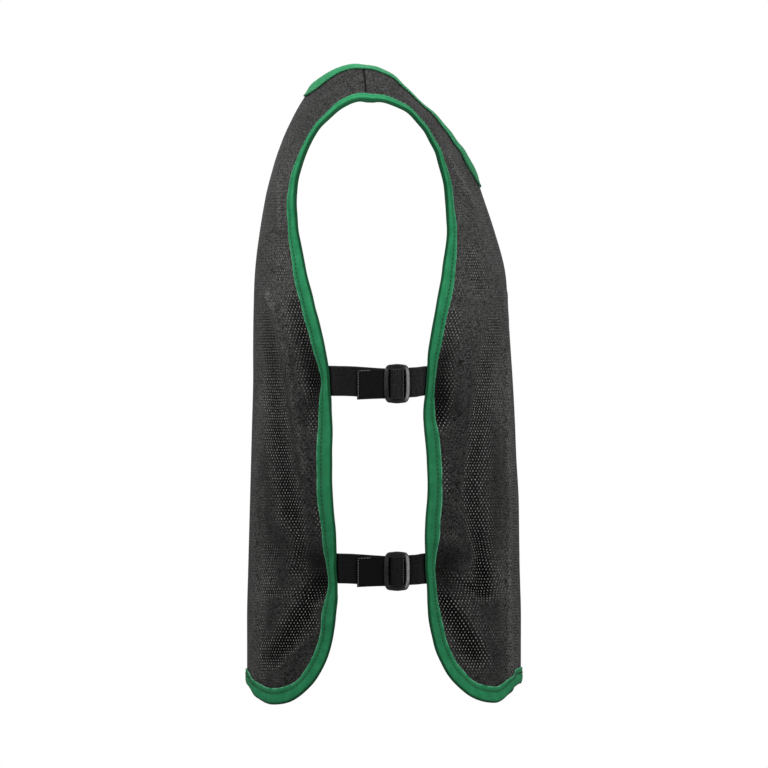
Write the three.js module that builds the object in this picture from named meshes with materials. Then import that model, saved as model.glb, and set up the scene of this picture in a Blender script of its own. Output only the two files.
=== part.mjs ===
import * as THREE from 'three';
import { mergeVertices } from 'three/addons/utils/BufferGeometryUtils.js';

// Training bib as worn: black mesh panels with green bound edges, open at the sides
// and closed there by two webbing straps a side. Millimetres, +Z up, the wearer faces
// -Y. The origin is on the centre plane, level with the neck ends of the shoulder seams.

// Cloth and tape
const clothThickness = 1.0;
const tapeThickness = 1.0;
const sewingGap = 0.3;
const tapeReach = 14.7;
const seamShift = 0.012;

// Hem and its rounded corners, in millimetres and in shares of a section
const hemHeight = { front: -636, back: -638.5 };
const hemRise = { front: 19, back: 18 };
const cornerShare = { front: 0.53, back: 0.51 };
const cornerPower = { front: 2.4, back: 2.5 };

// Neckline: where it meets the shoulder, and the rows of its lowest points
const neckShare = 0.47;
const neckRow = { front: 14.7, back: 22.4 };

// Side straps and their three-bar sliders
const strapLevels = { upper: -317, lower: -504.5 };
const strapWidth = 30;
const strapThickness = 1.2;
const strapSag = 2.7;
const strapStandOff = 5;
const sliderDepthPlace = -32;
const sliderHeight = 39.5;
const sliderWidth = 26;
const sliderBow = 2;
const sliderThickness = 3;
const sliderCorner = 5;
const sliderBevel = 0.5;
const sliderBar = 4.4;
const sliderMiddleBar = 3.2;
const sliderRail = 3.6;
const sliderSlotTaper = 0.7;
const tailEnd = -40;
const tailTilt = 2.6;

// How far a section runs straight from its two ends, as a share of its chord
const middleReach = 0.45;
const edgeReach = 0.28;

// Columns and rows of the faceted panels
const columnCount = 8;
const columnCrowding = 1.35;
const cornerSteps = 8;
const neckSteps = 9;
const strapColumns = 2;
const middleSideSteps = 7;
const armholeSteps = 14;

// A level section of a panel, from its middle to its side edge: the height, the depth of
// the middle, half the width, the depth of the edge, and turn, the angle in degrees that
// the cloth at the edge is turned from facing sideways to facing forward.
const frontLevels = [
  { z: -657.4, mid: -154.5, half: 183, edge: -63.5, turn: 36 },
  { z: -619.8, mid: -154.5, half: 183, edge: -63.5, turn: 37 },
  { z: -582.2, mid: -154.5, half: 183, edge: -63.5, turn: 38 },
  { z: -544.6, mid: -154.5, half: 183, edge: -64, turn: 44 },
  { z: -507.0, mid: -153.5, half: 182, edge: -62, turn: 64 },
  { z: -469.4, mid: -153, half: 184, edge: -61, turn: 32 },
  { z: -431.8, mid: -152.5, half: 183, edge: -63.5, turn: 25 },
  { z: -394.2, mid: -151, half: 181, edge: -63, turn: 26 },
  { z: -356.6, mid: -149.5, half: 178, edge: -60, turn: 36 },
  { z: -319.0, mid: -147.5, half: 175, edge: -62.5, turn: 64 },
  { z: -281.4, mid: -145, half: 171, edge: -65.5, turn: 46 },
  { z: -243.8, mid: -142.5, half: 166, edge: -72, turn: 36 },
  { z: -206.2, mid: -139.5, half: 160, edge: -78.5, turn: 42 },
  { z: -168.6, mid: -129.5, half: 155, edge: -82.5, turn: 56 },
  { z: -131.0, mid: -117, half: 152, edge: -80.5, turn: 64 },
];
const backLevels = [
  { z: -131.0, mid: 98.5, half: 152, edge: 69.5, turn: 62 },
  { z: -168.6, mid: 105, half: 155, edge: 67.5, turn: 54 },
  { z: -206.2, mid: 109.5, half: 160, edge: 60.5, turn: 42 },
  { z: -243.8, mid: 111, half: 166, edge: 52, turn: 30 },
  { z: -281.4, mid: 111.5, half: 171, edge: 42.5, turn: 40 },
  { z: -319.0, mid: 111.5, half: 175, edge: 37.5, turn: 64 },
  { z: -356.6, mid: 112.5, half: 178, edge: 34.5, turn: 36 },
  { z: -394.2, mid: 113.5, half: 181, edge: 35, turn: 25 },
  { z: -431.8, mid: 114.5, half: 183, edge: 34.5, turn: 26 },
  { z: -469.4, mid: 115.5, half: 184, edge: 31, turn: 35 },
  { z: -507.0, mid: 116.5, half: 182, edge: 30, turn: 64 },
  { z: -544.6, mid: 117.5, half: 183, edge: 30, turn: 46 },
  { z: -582.2, mid: 117.5, half: 183, edge: 29.5, turn: 38 },
  { z: -619.8, mid: 117.5, half: 183, edge: 29.5, turn: 37 },
  { z: -657.4, mid: 117.5, half: 183, edge: 29.5, turn: 36 },
];

// The sections that pass over the shoulder. They start on the centre plane above the neck
// opening, which is cut out of them. fall is the slope at the edge in degrees, and turn
// passes 90 where the sections of the back begin.
const shoulderSections = [
  { midY: -105.5, midZ: -97, half: 153, edgeY: -74, edgeZ: -97, turn: 67, fall: 2 },
  { midY: -93, midZ: -76, half: 157, edgeY: -65.5, edgeZ: -76, turn: 72, fall: 6 },
  { midY: -79, midZ: -58, half: 161, edgeY: -53.5, edgeZ: -58, turn: 78, fall: 14 },
  { midY: -57, midZ: -38, half: 164.5, edgeY: -39.5, edgeZ: -45.5, turn: 84, fall: 22 },
  { midY: -33, midZ: -7, half: 167, edgeY: -20.5, edgeZ: -37.8, turn: 88, fall: 30 },
  { midY: 0, midZ: 13, half: 168, edgeY: 0, edgeZ: -35.6, turn: 90, fall: 33 },
  { midY: 26, midZ: 7.5, half: 167, edgeY: 13, edgeZ: -37.2, turn: 92, fall: 31 },
  { midY: 45, midZ: -8, half: 165, edgeY: 26, edgeZ: -44, turn: 95, fall: 26 },
  { midY: 61.5, midZ: -35, half: 162.5, edgeY: 37.5, edgeZ: -54.5, turn: 99, fall: 20 },
  { midY: 72.5, midZ: -55, half: 159.5, edgeY: 47.5, edgeZ: -65, turn: 104, fall: 12 },
  { midY: 82.5, midZ: -77, half: 156, edgeY: 57, edgeZ: -81, turn: 110, fall: 5 },
  { midY: 91, midZ: -102, half: 153, edgeY: 64.5, edgeZ: -103, turn: 114, fall: 1 },
];

// Folds of the worn cloth as they lie seen from the side: each runs straight from one
// point to another, and is a valley where its depth is negative.
const folds = [
  { fromY: -87, fromZ: -246, toY: -76, toZ: -340, width: 9, depth: -3 },
  { fromY: -101, fromZ: -171, toY: -121, toZ: -236, width: 9, depth: -2 },
  { fromY: -132, fromZ: -256, toY: -123, toZ: -336, width: 9, depth: -2.5 },
  { fromY: -123, fromZ: -336, toY: -109, toZ: -426, width: 10, depth: -3 },
  { fromY: -109, fromZ: -426, toY: -125, toZ: -526, width: 9, depth: -2.5 },
  { fromY: -76, fromZ: -521, toY: -119, toZ: -601, width: 11, depth: -4 },
  { fromY: -98, fromZ: -300, toY: -92, toZ: -470, width: 9, depth: 2 },
  { fromY: 72, fromZ: -236, toY: 47, toZ: -314, width: 9, depth: -3 },
  { fromY: 93, fromZ: -236, toY: 74, toZ: -312, width: 7, depth: 2 },
  { fromY: 74, fromZ: -312, toY: 61, toZ: -401, width: 7, depth: 2 },
  { fromY: 98, fromZ: -256, toY: 90, toZ: -356, width: 9, depth: -2.5 },
  { fromY: 90, fromZ: -356, toY: 75, toZ: -451, width: 11, depth: -3 },
  { fromY: 42, fromZ: -514, toY: 95, toZ: -598, width: 11, depth: -4 },
  { fromY: 67, fromZ: -465, toY: 65, toZ: -506, width: 9, depth: -2 },
];
const foldStart = 0.15;
const leftFoldDrop = 14;
const leftFoldShare = 0.8;

// The way of the webbing through a slider, seen along its bars: along is the distance
// from the middle bar, positive towards the front, and out the distance from the slider's
// middle plane. The front strap goes over the middle bar and ends in the outer tail, and
// the back strap is turned round the middle bar beneath it.
const frontStrapWay = [
  { along: 15, out: -2.4 },
  { along: 8.8, out: -2.4 },
  { along: 6.2, out: -1 },
  { along: 5.2, out: 1.8 },
  { along: 3.4, out: 3.95 },
];
const backStrapWay = [
  { along: -54, out: -3.9 },
  { along: -6.6, out: -3.9 },
  { along: -2.4, out: -2.6 },
  { along: 2, out: -2.45 },
  { along: 3.2, out: -1 },
  { along: 3.2, out: 1 },
  { along: 2, out: 2.45 },
  { along: -2, out: 2.45 },
  { along: -3.2, out: 1 },
  { along: -3.3, out: 0 },
];

const meshCloth = new THREE.MeshStandardMaterial({ color: 0x26272a, roughness: 0.85, metalness: 0 });
const greenTape = new THREE.MeshStandardMaterial({ color: 0x2f9a63, roughness: 0.7, metalness: 0 });
const webbing = new THREE.MeshStandardMaterial({ color: 0x151516, roughness: 0.75, metalness: 0 });
const blackPlastic = new THREE.MeshStandardMaterial({ color: 0x1b1b1c, roughness: 0.35, metalness: 0 });

const { lerp, degToRad, clamp, smoothstep } = THREE.MathUtils;
const weldDistance = 1e-4;

// Closed skin of facets, given corner by corner
class Facets {
  constructor() {
    this.corners = [];
  }

  triangle(p, q, r) {
    this.corners.push(p, q, r);
  }

  // Split from the first corner to the third
  quad(p, q, r, s) {
    this.triangle(p, q, r);
    this.triangle(p, r, s);
  }

  // A quad of the half on one side, turned over where that half is the mirrored one
  sidedQuad(side, p, q, r, s) {
    if (side > 0) this.quad(p, q, r, s);
    else this.quad(r, q, p, s);
  }

  geometry() {
    const loose = new THREE.BufferGeometry().setFromPoints(this.corners);
    const welded = mergeVertices(loose, weldDistance);
    if (signedVolume(welded) < 0) welded.index.array.reverse();
    welded.computeVertexNormals();
    return welded;
  }
}

function signedVolume(geometry) {
  const place = geometry.attributes.position;
  const corner = (n) => new THREE.Vector3().fromBufferAttribute(place, geometry.index.getX(n));
  let volume = 0;
  for (let n = 0; n < geometry.index.count; n += 3) {
    volume += corner(n).dot(corner(n + 1).cross(corner(n + 2))) / 6;
  }
  return volume;
}

// One sheet runs from the front hem over the shoulder to the back hem. A place on it has a
// row, which counts sections from the front hem, and a share, 0 at the middle and 1 at the
// side edge.
function levelSection(level, turn) {
  return {
    midY: level.mid,
    midZ: level.z,
    half: level.half,
    edgeY: level.edge,
    edgeZ: level.z,
    turn,
    fall: 0,
  };
}

const sections = [
  ...frontLevels.map((level) => levelSection(level, level.turn)),
  ...shoulderSections,
  ...backLevels.map((level) => levelSection(level, 180 - level.turn)),
];
const lastRow = sections.length - 1;
const shoulderRow = frontLevels.length + shoulderSections.findIndex((row) => row.turn === 90);
const levelRise = frontLevels[1].z - frontLevels[0].z;

function catmullRom(before, from, to, after, f) {
  const leave = (to - before) / 2;
  const arrive = (after - from) / 2;
  const cubic = 2 * from - 2 * to + leave + arrive;
  const square = 3 * to - 3 * from - 2 * leave - arrive;
  return ((cubic * f + square) * f + leave) * f + from;
}

function sectionAt(row) {
  const k = clamp(Math.floor(row), 0, lastRow - 1);
  const near = [k - 1, k, k + 1, k + 2].map((n) => sections[clamp(n, 0, lastRow)]);
  const between = {};
  for (const column of Object.keys(sections[0])) {
    between[column] = catmullRom(...near.map((section) => section[column]), row - k);
  }
  return between;
}

function smoothPoint(share, row) {
  const section = sectionAt(row);
  const turn = degToRad(section.turn);
  const fall = degToRad(section.fall);
  const middle = new THREE.Vector3(0, section.midY, section.midZ);
  const edge = new THREE.Vector3(section.half, section.edgeY, section.edgeZ);
  const chord = middle.distanceTo(edge);
  const heading = new THREE.Vector3(
    Math.sin(turn) * Math.cos(fall),
    Math.cos(turn) * Math.cos(fall),
    -Math.sin(fall),
  );
  const leaving = new THREE.Vector3(chord * middleReach, section.midY, section.midZ);
  const arriving = edge.clone().addScaledVector(heading, -chord * edgeReach);
  return new THREE.CubicBezierCurve3(middle, leaving, arriving, edge).getPoint(share);
}

// Normal of a surface given as a function of share and row, pointing away from the wearer
const smallStep = 0.01;
function normalOf(surface, share, row) {
  const across = surface(share + smallStep, row).sub(surface(share - smallStep, row));
  const along = surface(share, row + smallStep).sub(surface(share, row - smallStep));
  return across.cross(along).normalize();
}

function foldDepth(y, z) {
  let depth = 0;
  for (const fold of folds) {
    const runY = fold.toY - fold.fromY;
    const runZ = fold.toZ - fold.fromZ;
    const along = ((y - fold.fromY) * runY + (z - fold.fromZ) * runZ) / (runY ** 2 + runZ ** 2);
    const reached = clamp(along, 0, 1);
    const offY = y - fold.fromY - reached * runY;
    const offZ = z - fold.fromZ - reached * runZ;
    depth += fold.depth * Math.exp(-(offY ** 2 + offZ ** 2) / fold.width ** 2);
  }
  return depth;
}

// The folds of the wearer's left side, +X, lie a little lower and are shallower
function foldedPoint(share, row, side) {
  const point = smoothPoint(share, row);
  const drop = side > 0 ? leftFoldDrop : 0;
  const strength = side > 0 ? leftFoldShare : 1;
  const depth = strength * foldDepth(point.y, point.z + drop) * smoothstep(share, 0, foldStart);
  return point.addScaledVector(normalOf(smoothPoint, share, row), depth);
}

// A place on the sheet, and the places a distance off it along its normal
function sheetPoint(place, side, offset = 0) {
  const surface = (share, row) => foldedPoint(share, row, side);
  const point = surface(place.share, place.row);
  point.addScaledVector(normalOf(surface, place.share, place.row), offset);
  point.x = place.share === 0 ? 0 : point.x * side;
  return point;
}

// The two panels, and the lines along their edges as places on the sheet
function rowOfHeight(panel, z) {
  const fromHem = (z - frontLevels[0].z) / levelRise;
  return panel === 'front' ? fromHem : lastRow - fromHem;
}

function seamRow(panel) {
  return shoulderRow + (panel === 'front' ? -seamShift : seamShift);
}

// The rows that a strap's lower edge, middle and upper edge are sewn on
function strapRows(panel, level) {
  return strapColumnPlaces().map((across) => rowOfHeight(panel, strapLevels[level] + across));
}

function strapColumnPlaces() {
  return Array.from({ length: strapColumns + 1 }, (_, j) => strapWidth * (j / strapColumns - 0.5));
}

function columnShares() {
  return Array.from({ length: columnCount + 1 }, (_, i) => 1 - (1 - i / columnCount) ** columnCrowding);
}

// From the middle of the hem round the corner and up the side and armhole to the shoulder
function edgeLine(panel) {
  const line = [];
  const hem = hemHeight[panel];
  const cornerTop = strapLevels.lower - strapWidth / 2;
  for (const share of columnShares()) {
    const rise = hemRise[panel] * (1 + Math.cos(Math.PI * share)) / 2;
    line.push({ share: share * (1 - cornerShare[panel]), row: rowOfHeight(panel, hem + rise) });
  }
  for (let k = 1; k <= cornerSteps; k += 1) {
    const angle = (Math.PI / 2) * (k / cornerSteps);
    const outwards = Math.sin(angle) ** (2 / cornerPower[panel]);
    const downwards = k === cornerSteps ? 0 : Math.cos(angle) ** (2 / cornerPower[panel]);
    const height = lerp(cornerTop, hem, downwards);
    line.push({ share: 1 - cornerShare[panel] * (1 - outwards), row: rowOfHeight(panel, height) });
  }
  const [lower, upper] = [strapRows(panel, 'lower'), strapRows(panel, 'upper')];
  const stretches = [
    { from: lower[0], to: lower[strapColumns], steps: strapColumns },
    { from: lower[strapColumns], to: upper[0], steps: middleSideSteps },
    { from: upper[0], to: upper[strapColumns], steps: strapColumns },
    { from: upper[strapColumns], to: seamRow(panel), steps: armholeSteps },
  ];
  for (const { from, to, steps } of stretches) {
    for (let k = 1; k <= steps; k += 1) line.push({ share: 1, row: lerp(from, to, k / steps) });
  }
  return line;
}

// From the middle of the neckline up to the shoulder
function neckLine(panel, lastNeckRow) {
  const line = [];
  for (let k = 0; k <= neckSteps; k += 1) {
    const angle = (Math.PI / 2) * (k / neckSteps);
    const row = lerp(lastNeckRow, neckRow[panel], k === neckSteps ? 0 : Math.cos(angle));
    line.push({ share: neckShare * Math.sin(angle), row });
  }
  return line;
}

// How far a place moves in space for each unit of share and of row
function slopesAt({ share, row }) {
  const slopeOf = (from, to) => to.sub(from).divideScalar(2 * smallStep);
  return {
    across: slopeOf(smoothPoint(share - smallStep, row), smoothPoint(share + smallStep, row)),
    along: slopeOf(smoothPoint(share, row - smallStep), smoothPoint(share, row + smallStep)),
  };
}

// The direction in space from place k of a line into the panel: up or down at the middle,
// along the seam at the shoulder, and square to the line between them
function inwardAt(line, k, facing) {
  const { across, along } = slopesAt(line[k]);
  if (k === 0) return along.setX(0).normalize().multiplyScalar(facing);
  if (k === line.length - 1) return across.normalize().multiplyScalar(line[k].share === 1 ? -1 : 1);
  const before = smoothPoint(line[k - 1].share, line[k - 1].row);
  const after = smoothPoint(line[k + 1].share, line[k + 1].row);
  return across.cross(along).cross(after.sub(before)).normalize().multiplyScalar(facing);
}

// The place that lies a distance inside the line's place k, on the sheet
function insetPlace(line, k, facing, distance) {
  const { across, along } = slopesAt(line[k]);
  const inward = inwardAt(line, k, facing).multiplyScalar(distance);
  const [aa, ab, bb] = [across.dot(across), across.dot(along), along.dot(along)];
  const [ai, bi] = [across.dot(inward), along.dot(inward)];
  const spread = aa * bb - ab * ab;
  const shareStep = k === 0 ? 0 : (ai * bb - bi * ab) / spread;
  const rowStep = k === line.length - 1 ? 0 : (bi * aa - ai * ab) / spread;
  return { share: line[k].share + shareStep, row: line[k].row + rowStep };
}

// The corners of a quad in the order that splits it along its shorter diagonal
function splitShorter(corners) {
  const [p, q, r, s] = corners.map((place) => smoothPoint(place.share, place.row));
  return p.distanceTo(r) < q.distanceTo(s) ? corners : [...corners.slice(1), corners[0]];
}

const panelFacing = { front: 1, back: -1 };

function panelGeometry(panel) {
  const facing = panelFacing[panel];
  const edge = edgeLine(panel);
  const neck = neckLine(panel, seamRow(panel));
  const edgeInner = edge.map((_, k) => insetPlace(edge, k, facing, tapeReach));
  const neckInner = neck.map((_, k) => insetPlace(neck, k, -facing, tapeReach));
  const rowCount = edge.length - 1 - columnCount;
  const neckStart = rowCount - neckSteps;
  const shares = columnShares();

  const gridPlace = (i, j) => {
    if (j === 0) return edgeInner[i];
    const outer = edgeInner[columnCount + j];
    const centre = { share: 0, row: lerp(edgeInner[0].row, neckInner[0].row, j / neckStart) };
    const inner = j <= neckStart ? centre : neckInner[j - neckStart];
    return { share: lerp(inner.share, outer.share, shares[i]), row: lerp(inner.row, outer.row, shares[i]) };
  };

  const skin = new Facets();
  const half = clothThickness / 2;
  for (const side of [1, -1]) {
    const patch = (...places) => {
      const raised = places.map((place) => sheetPoint(place, side, half));
      const sunk = places.map((place) => sheetPoint(place, side, -half));
      skin.sidedQuad(side, ...raised);
      skin.sidedQuad(-side, ...sunk);
    };
    const rim = (from, to) => skin.sidedQuad(
      side,
      sheetPoint(from, side, -half),
      sheetPoint(to, side, -half),
      sheetPoint(to, side, half),
      sheetPoint(from, side, half),
    );
    for (let j = 0; j < rowCount; j += 1) {
      for (let i = 0; i < columnCount; i += 1) {
        const corners = [gridPlace(i, j), gridPlace(i + 1, j), gridPlace(i + 1, j + 1), gridPlace(i, j + 1)];
        patch(...splitShorter(corners));
      }
    }
    for (let k = 0; k < edge.length - 1; k += 1) {
      patch(edge[k], edge[k + 1], edgeInner[k + 1], edgeInner[k]);
      rim(edge[k], edge[k + 1]);
    }
    for (let k = 0; k < neckSteps; k += 1) {
      patch(neck[k], neckInner[k], neckInner[k + 1], neck[k + 1]);
      rim(neck[k + 1], neck[k]);
    }
    const seam = [neck[neckSteps]];
    for (let i = 0; i <= columnCount; i += 1) seam.push(gridPlace(i, rowCount));
    seam.push(edge[edge.length - 1]);
    for (let i = seam.length - 1; i > 0; i -= 1) rim(seam[i], seam[i - 1]);
  }
  return skin.geometry();
}

// A folded tape along a line: its section goes round the cloth's edge with two legs
const tapeInside = clothThickness / 2 + sewingGap;
const tapeOutside = tapeInside + tapeThickness;
const tapeFold = sewingGap + tapeThickness;

function tapeSection(line, k, facing, side) {
  const inset = insetPlace(line, k, facing, tapeReach);
  const outward = inwardAt(line, k, facing).negate();
  outward.x *= side;
  const leg = (offset) => sheetPoint(inset, side, offset);
  const fold = (offset, beyond) => sheetPoint(line[k], side, offset).addScaledVector(outward, beyond);
  return [
    leg(tapeInside),
    leg(tapeOutside),
    fold(tapeOutside, 0),
    fold(tapeOutside / 2, tapeFold),
    fold(-tapeOutside / 2, tapeFold),
    fold(-tapeOutside, 0),
    leg(-tapeOutside),
    leg(-tapeInside),
    fold(-tapeInside, sewingGap),
    fold(tapeInside, sewingGap),
  ];
}
const tapeLegCorners = [0, 1, 6, 7];
const tapeEndPieces = [[0, 1, 2, 9], [9, 2, 3, 4], [9, 4, 5, 8], [8, 5, 6, 7]];

// Each half runs from the middle to the shoulder. The facets of a leg are split the same
// way as the cloth beneath them, so that the gap between them stays even.
function addTape(skin, line, facing, side) {
  const rings = line.map((_, k) => tapeSection(line, k, facing, side));
  for (let k = 0; k < rings.length - 1; k += 1) {
    const [here, next] = [rings[k], rings[k + 1]];
    here.forEach((_, m) => {
      const n = (m + 1) % here.length;
      const turned = tapeLegCorners.includes(m) && !tapeLegCorners.includes(n);
      if (turned) skin.sidedQuad(side * facing, here[n], next[n], next[m], here[m]);
      else skin.sidedQuad(side * facing, here[m], here[n], next[n], next[m]);
    });
  }
  return rings;
}

function edgeTapeGeometry(panel) {
  const skin = new Facets();
  for (const side of [1, -1]) {
    const end = addTape(skin, edgeLine(panel), panelFacing[panel], side).pop();
    for (const piece of tapeEndPieces) {
      skin.sidedQuad(side * panelFacing[panel], ...piece.map((m) => end[m]));
    }
  }
  return skin.geometry();
}

function neckTapeGeometry() {
  const skin = new Facets();
  for (const panel of ['front', 'back']) {
    for (const side of [1, -1]) {
      addTape(skin, neckLine(panel, shoulderRow), -panelFacing[panel], side);
    }
  }
  return skin.geometry();
}

// A flat strip of even thickness through rows of points
function stripGeometry(rows, thickness) {
  const last = rows.length - 1;
  const width = rows[0].length - 1;
  const faceAt = (i, j, offset) => {
    const along = rows[Math.min(i + 1, last)][j].clone().sub(rows[Math.max(i - 1, 0)][j]);
    const across = rows[i][Math.min(j + 1, width)].clone().sub(rows[i][Math.max(j - 1, 0)]);
    return rows[i][j].clone().addScaledVector(along.cross(across).normalize(), offset);
  };
  const top = rows.map((row, i) => row.map((_, j) => faceAt(i, j, thickness / 2)));
  const under = rows.map((row, i) => row.map((_, j) => faceAt(i, j, -thickness / 2)));
  const skin = new Facets();
  for (let i = 0; i < last; i += 1) {
    for (let j = 0; j < width; j += 1) {
      skin.quad(top[i + 1][j], top[i + 1][j + 1], top[i][j + 1], top[i][j]);
      skin.quad(under[i][j + 1], under[i + 1][j + 1], under[i + 1][j], under[i][j]);
    }
    skin.quad(under[i][0], under[i + 1][0], top[i + 1][0], top[i][0]);
    skin.quad(top[i][width], top[i + 1][width], under[i + 1][width], under[i][width]);
  }
  for (let j = 0; j < width; j += 1) {
    skin.quad(top[0][j], top[0][j + 1], under[0][j + 1], under[0][j]);
    skin.quad(under[last][j], under[last][j + 1], top[last][j + 1], top[last][j]);
  }
  return skin.geometry();
}

// The webbing of one side and level. It is sewn inside a panel's edge, leaves it there
// with a bend, and goes on along its way through the slider.
const bridgeSteps = 4;
const bridgeHandle = 6;

function sliderPlane(level) {
  return sectionAt(rowOfHeight('front', strapLevels[level])).half + strapStandOff;
}

function strapGeometry(panel, level, side, way, dropAt) {
  const facing = panelFacing[panel];
  const beneath = -(tapeOutside + sewingGap + strapThickness / 2);
  const onWay = (step, across) => new THREE.Vector3(
    side * (sliderPlane(level) + step.out),
    sliderDepthPlace - step.along,
    strapLevels[level] - dropAt(step.along) + across,
  );
  const columns = strapColumnPlaces();
  const edge = edgeLine(panel);
  const sewnRows = strapRows(panel, level);
  const sewnAt = sewnRows.map((row) => edge.findIndex((place) => place.share === 1 && place.row === row));
  const rows = [
    sewnAt.map((k) => sheetPoint(insetPlace(edge, k, facing, tapeReach), side, beneath)),
    sewnAt.map((k) => sheetPoint(edge[k], side, beneath)),
  ];
  const bridges = columns.map((across, j) => {
    const outward = inwardAt(edge, sewnAt[j], facing).negate();
    outward.x *= side;
    const start = rows[1][j];
    const end = onWay(way[0], across);
    const towards = new THREE.Vector3(0, facing, 0);
    return new THREE.CubicBezierCurve3(
      start,
      start.clone().addScaledVector(outward, bridgeHandle),
      end.clone().addScaledVector(towards, -bridgeHandle),
      end,
    );
  });
  for (let n = 1; n < bridgeSteps; n += 1) {
    rows.push(bridges.map((bridge) => bridge.getPoint(n / bridgeSteps)));
  }
  for (const step of way) rows.push(columns.map((across) => onWay(step, across)));
  return stripGeometry(rows, strapThickness);
}

function frontStrapGeometry(level, side) {
  const leaving = frontStrapWay.map(({ along, out }) => ({ along: -along, out })).reverse();
  const way = [...frontStrapWay, ...leaving, { along: tailEnd, out: leaving[leaving.length - 1].out }];
  const tilt = (along) => tailTilt * smoothstep(-along, frontStrapWay[0].along, -tailEnd);
  return strapGeometry('front', level, side, way, (along) => strapSag + tilt(along));
}

function backStrapGeometry(level, side) {
  const farthest = -backStrapWay[0].along;
  const sag = (along) => strapSag * (1 - smoothstep(-along, 0, farthest));
  return strapGeometry('back', level, side, backStrapWay, sag);
}

// Slider of three bars with bowed long sides, drawn along Y and Z and standing along X
function sliderOutline() {
  const [w, h, r] = [sliderWidth / 2 - sliderBow, sliderHeight / 2, sliderCorner];
  const bowed = w + 2 * sliderBow;
  const outline = new THREE.Shape();
  outline.moveTo(-w + r, -h);
  outline.lineTo(w - r, -h);
  outline.quadraticCurveTo(w, -h, w, -h + r);
  outline.quadraticCurveTo(bowed, 0, w, h - r);
  outline.quadraticCurveTo(w, h, w - r, h);
  outline.lineTo(-w + r, h);
  outline.quadraticCurveTo(-w, h, -w, h - r);
  outline.quadraticCurveTo(-bowed, 0, -w, -h + r);
  outline.quadraticCurveTo(-w, -h, -w + r, -h);
  const slotHeight = h - sliderRail;
  const shorter = slotHeight - sliderSlotTaper;
  const [near, far] = [sliderMiddleBar / 2, sliderWidth / 2 - sliderBar];
  for (const [left, right] of [[-far, -near], [near, far]]) {
    const slot = new THREE.Path();
    const [leftHeight, rightHeight] = left < 0 ? [shorter, slotHeight] : [slotHeight, shorter];
    slot.moveTo(left, -leftHeight);
    slot.lineTo(left, leftHeight);
    slot.lineTo(right, rightHeight);
    slot.lineTo(right, -rightHeight);
    outline.holes.push(slot);
  }
  return outline;
}

function sliderMesh(level, side) {
  const geometry = new THREE.ExtrudeGeometry(sliderOutline(), {
    depth: sliderThickness - 2 * sliderBevel,
    bevelThickness: sliderBevel,
    bevelSize: sliderBevel,
    bevelOffset: -sliderBevel,
    bevelSegments: 1,
    curveSegments: 3,
  });
  geometry.translate(0, 0, sliderBevel - sliderThickness / 2);
  const mesh = new THREE.Mesh(geometry, blackPlastic);
  mesh.rotation.set(Math.PI / 2, Math.PI / 2, 0);
  mesh.position.set(side * sliderPlane(level), sliderDepthPlace, strapLevels[level] - strapSag);
  return mesh;
}

const bib = new THREE.Group();

function addPiece(name, mesh) {
  mesh.name = name;
  bib.add(mesh);
}

for (const panel of ['front', 'back']) {
  addPiece(`${panel}_panel`, new THREE.Mesh(panelGeometry(panel), meshCloth));
  addPiece(`${panel}_edge_binding`, new THREE.Mesh(edgeTapeGeometry(panel), greenTape));
}
addPiece('neck_binding', new THREE.Mesh(neckTapeGeometry(), greenTape));

for (const level of ['upper', 'lower']) {
  for (const [name, side] of [['right', -1], ['left', 1]]) {
    addPiece(`${level}_${name}_front_strap`, new THREE.Mesh(frontStrapGeometry(level, side), webbing));
    addPiece(`${level}_${name}_back_strap`, new THREE.Mesh(backStrapGeometry(level, side), webbing));
    addPiece(`${level}_${name}_buckle`, sliderMesh(level, side));
  }
}

export default bib;
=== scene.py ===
import math

import bmesh
import bpy
import numpy as np
from mathutils import Matrix, Vector


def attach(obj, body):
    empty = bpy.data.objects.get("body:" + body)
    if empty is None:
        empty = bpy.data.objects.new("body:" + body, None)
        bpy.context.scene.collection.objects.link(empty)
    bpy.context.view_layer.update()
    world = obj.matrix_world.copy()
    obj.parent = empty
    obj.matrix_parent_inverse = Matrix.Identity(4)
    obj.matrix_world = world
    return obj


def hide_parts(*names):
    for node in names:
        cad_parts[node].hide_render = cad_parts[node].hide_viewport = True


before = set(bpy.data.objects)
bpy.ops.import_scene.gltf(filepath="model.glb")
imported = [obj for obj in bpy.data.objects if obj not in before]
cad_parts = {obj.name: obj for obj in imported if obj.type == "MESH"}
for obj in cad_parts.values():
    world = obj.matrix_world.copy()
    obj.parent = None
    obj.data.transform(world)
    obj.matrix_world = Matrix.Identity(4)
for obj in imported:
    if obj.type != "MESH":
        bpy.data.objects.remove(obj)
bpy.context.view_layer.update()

mm = 0.001

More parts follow.
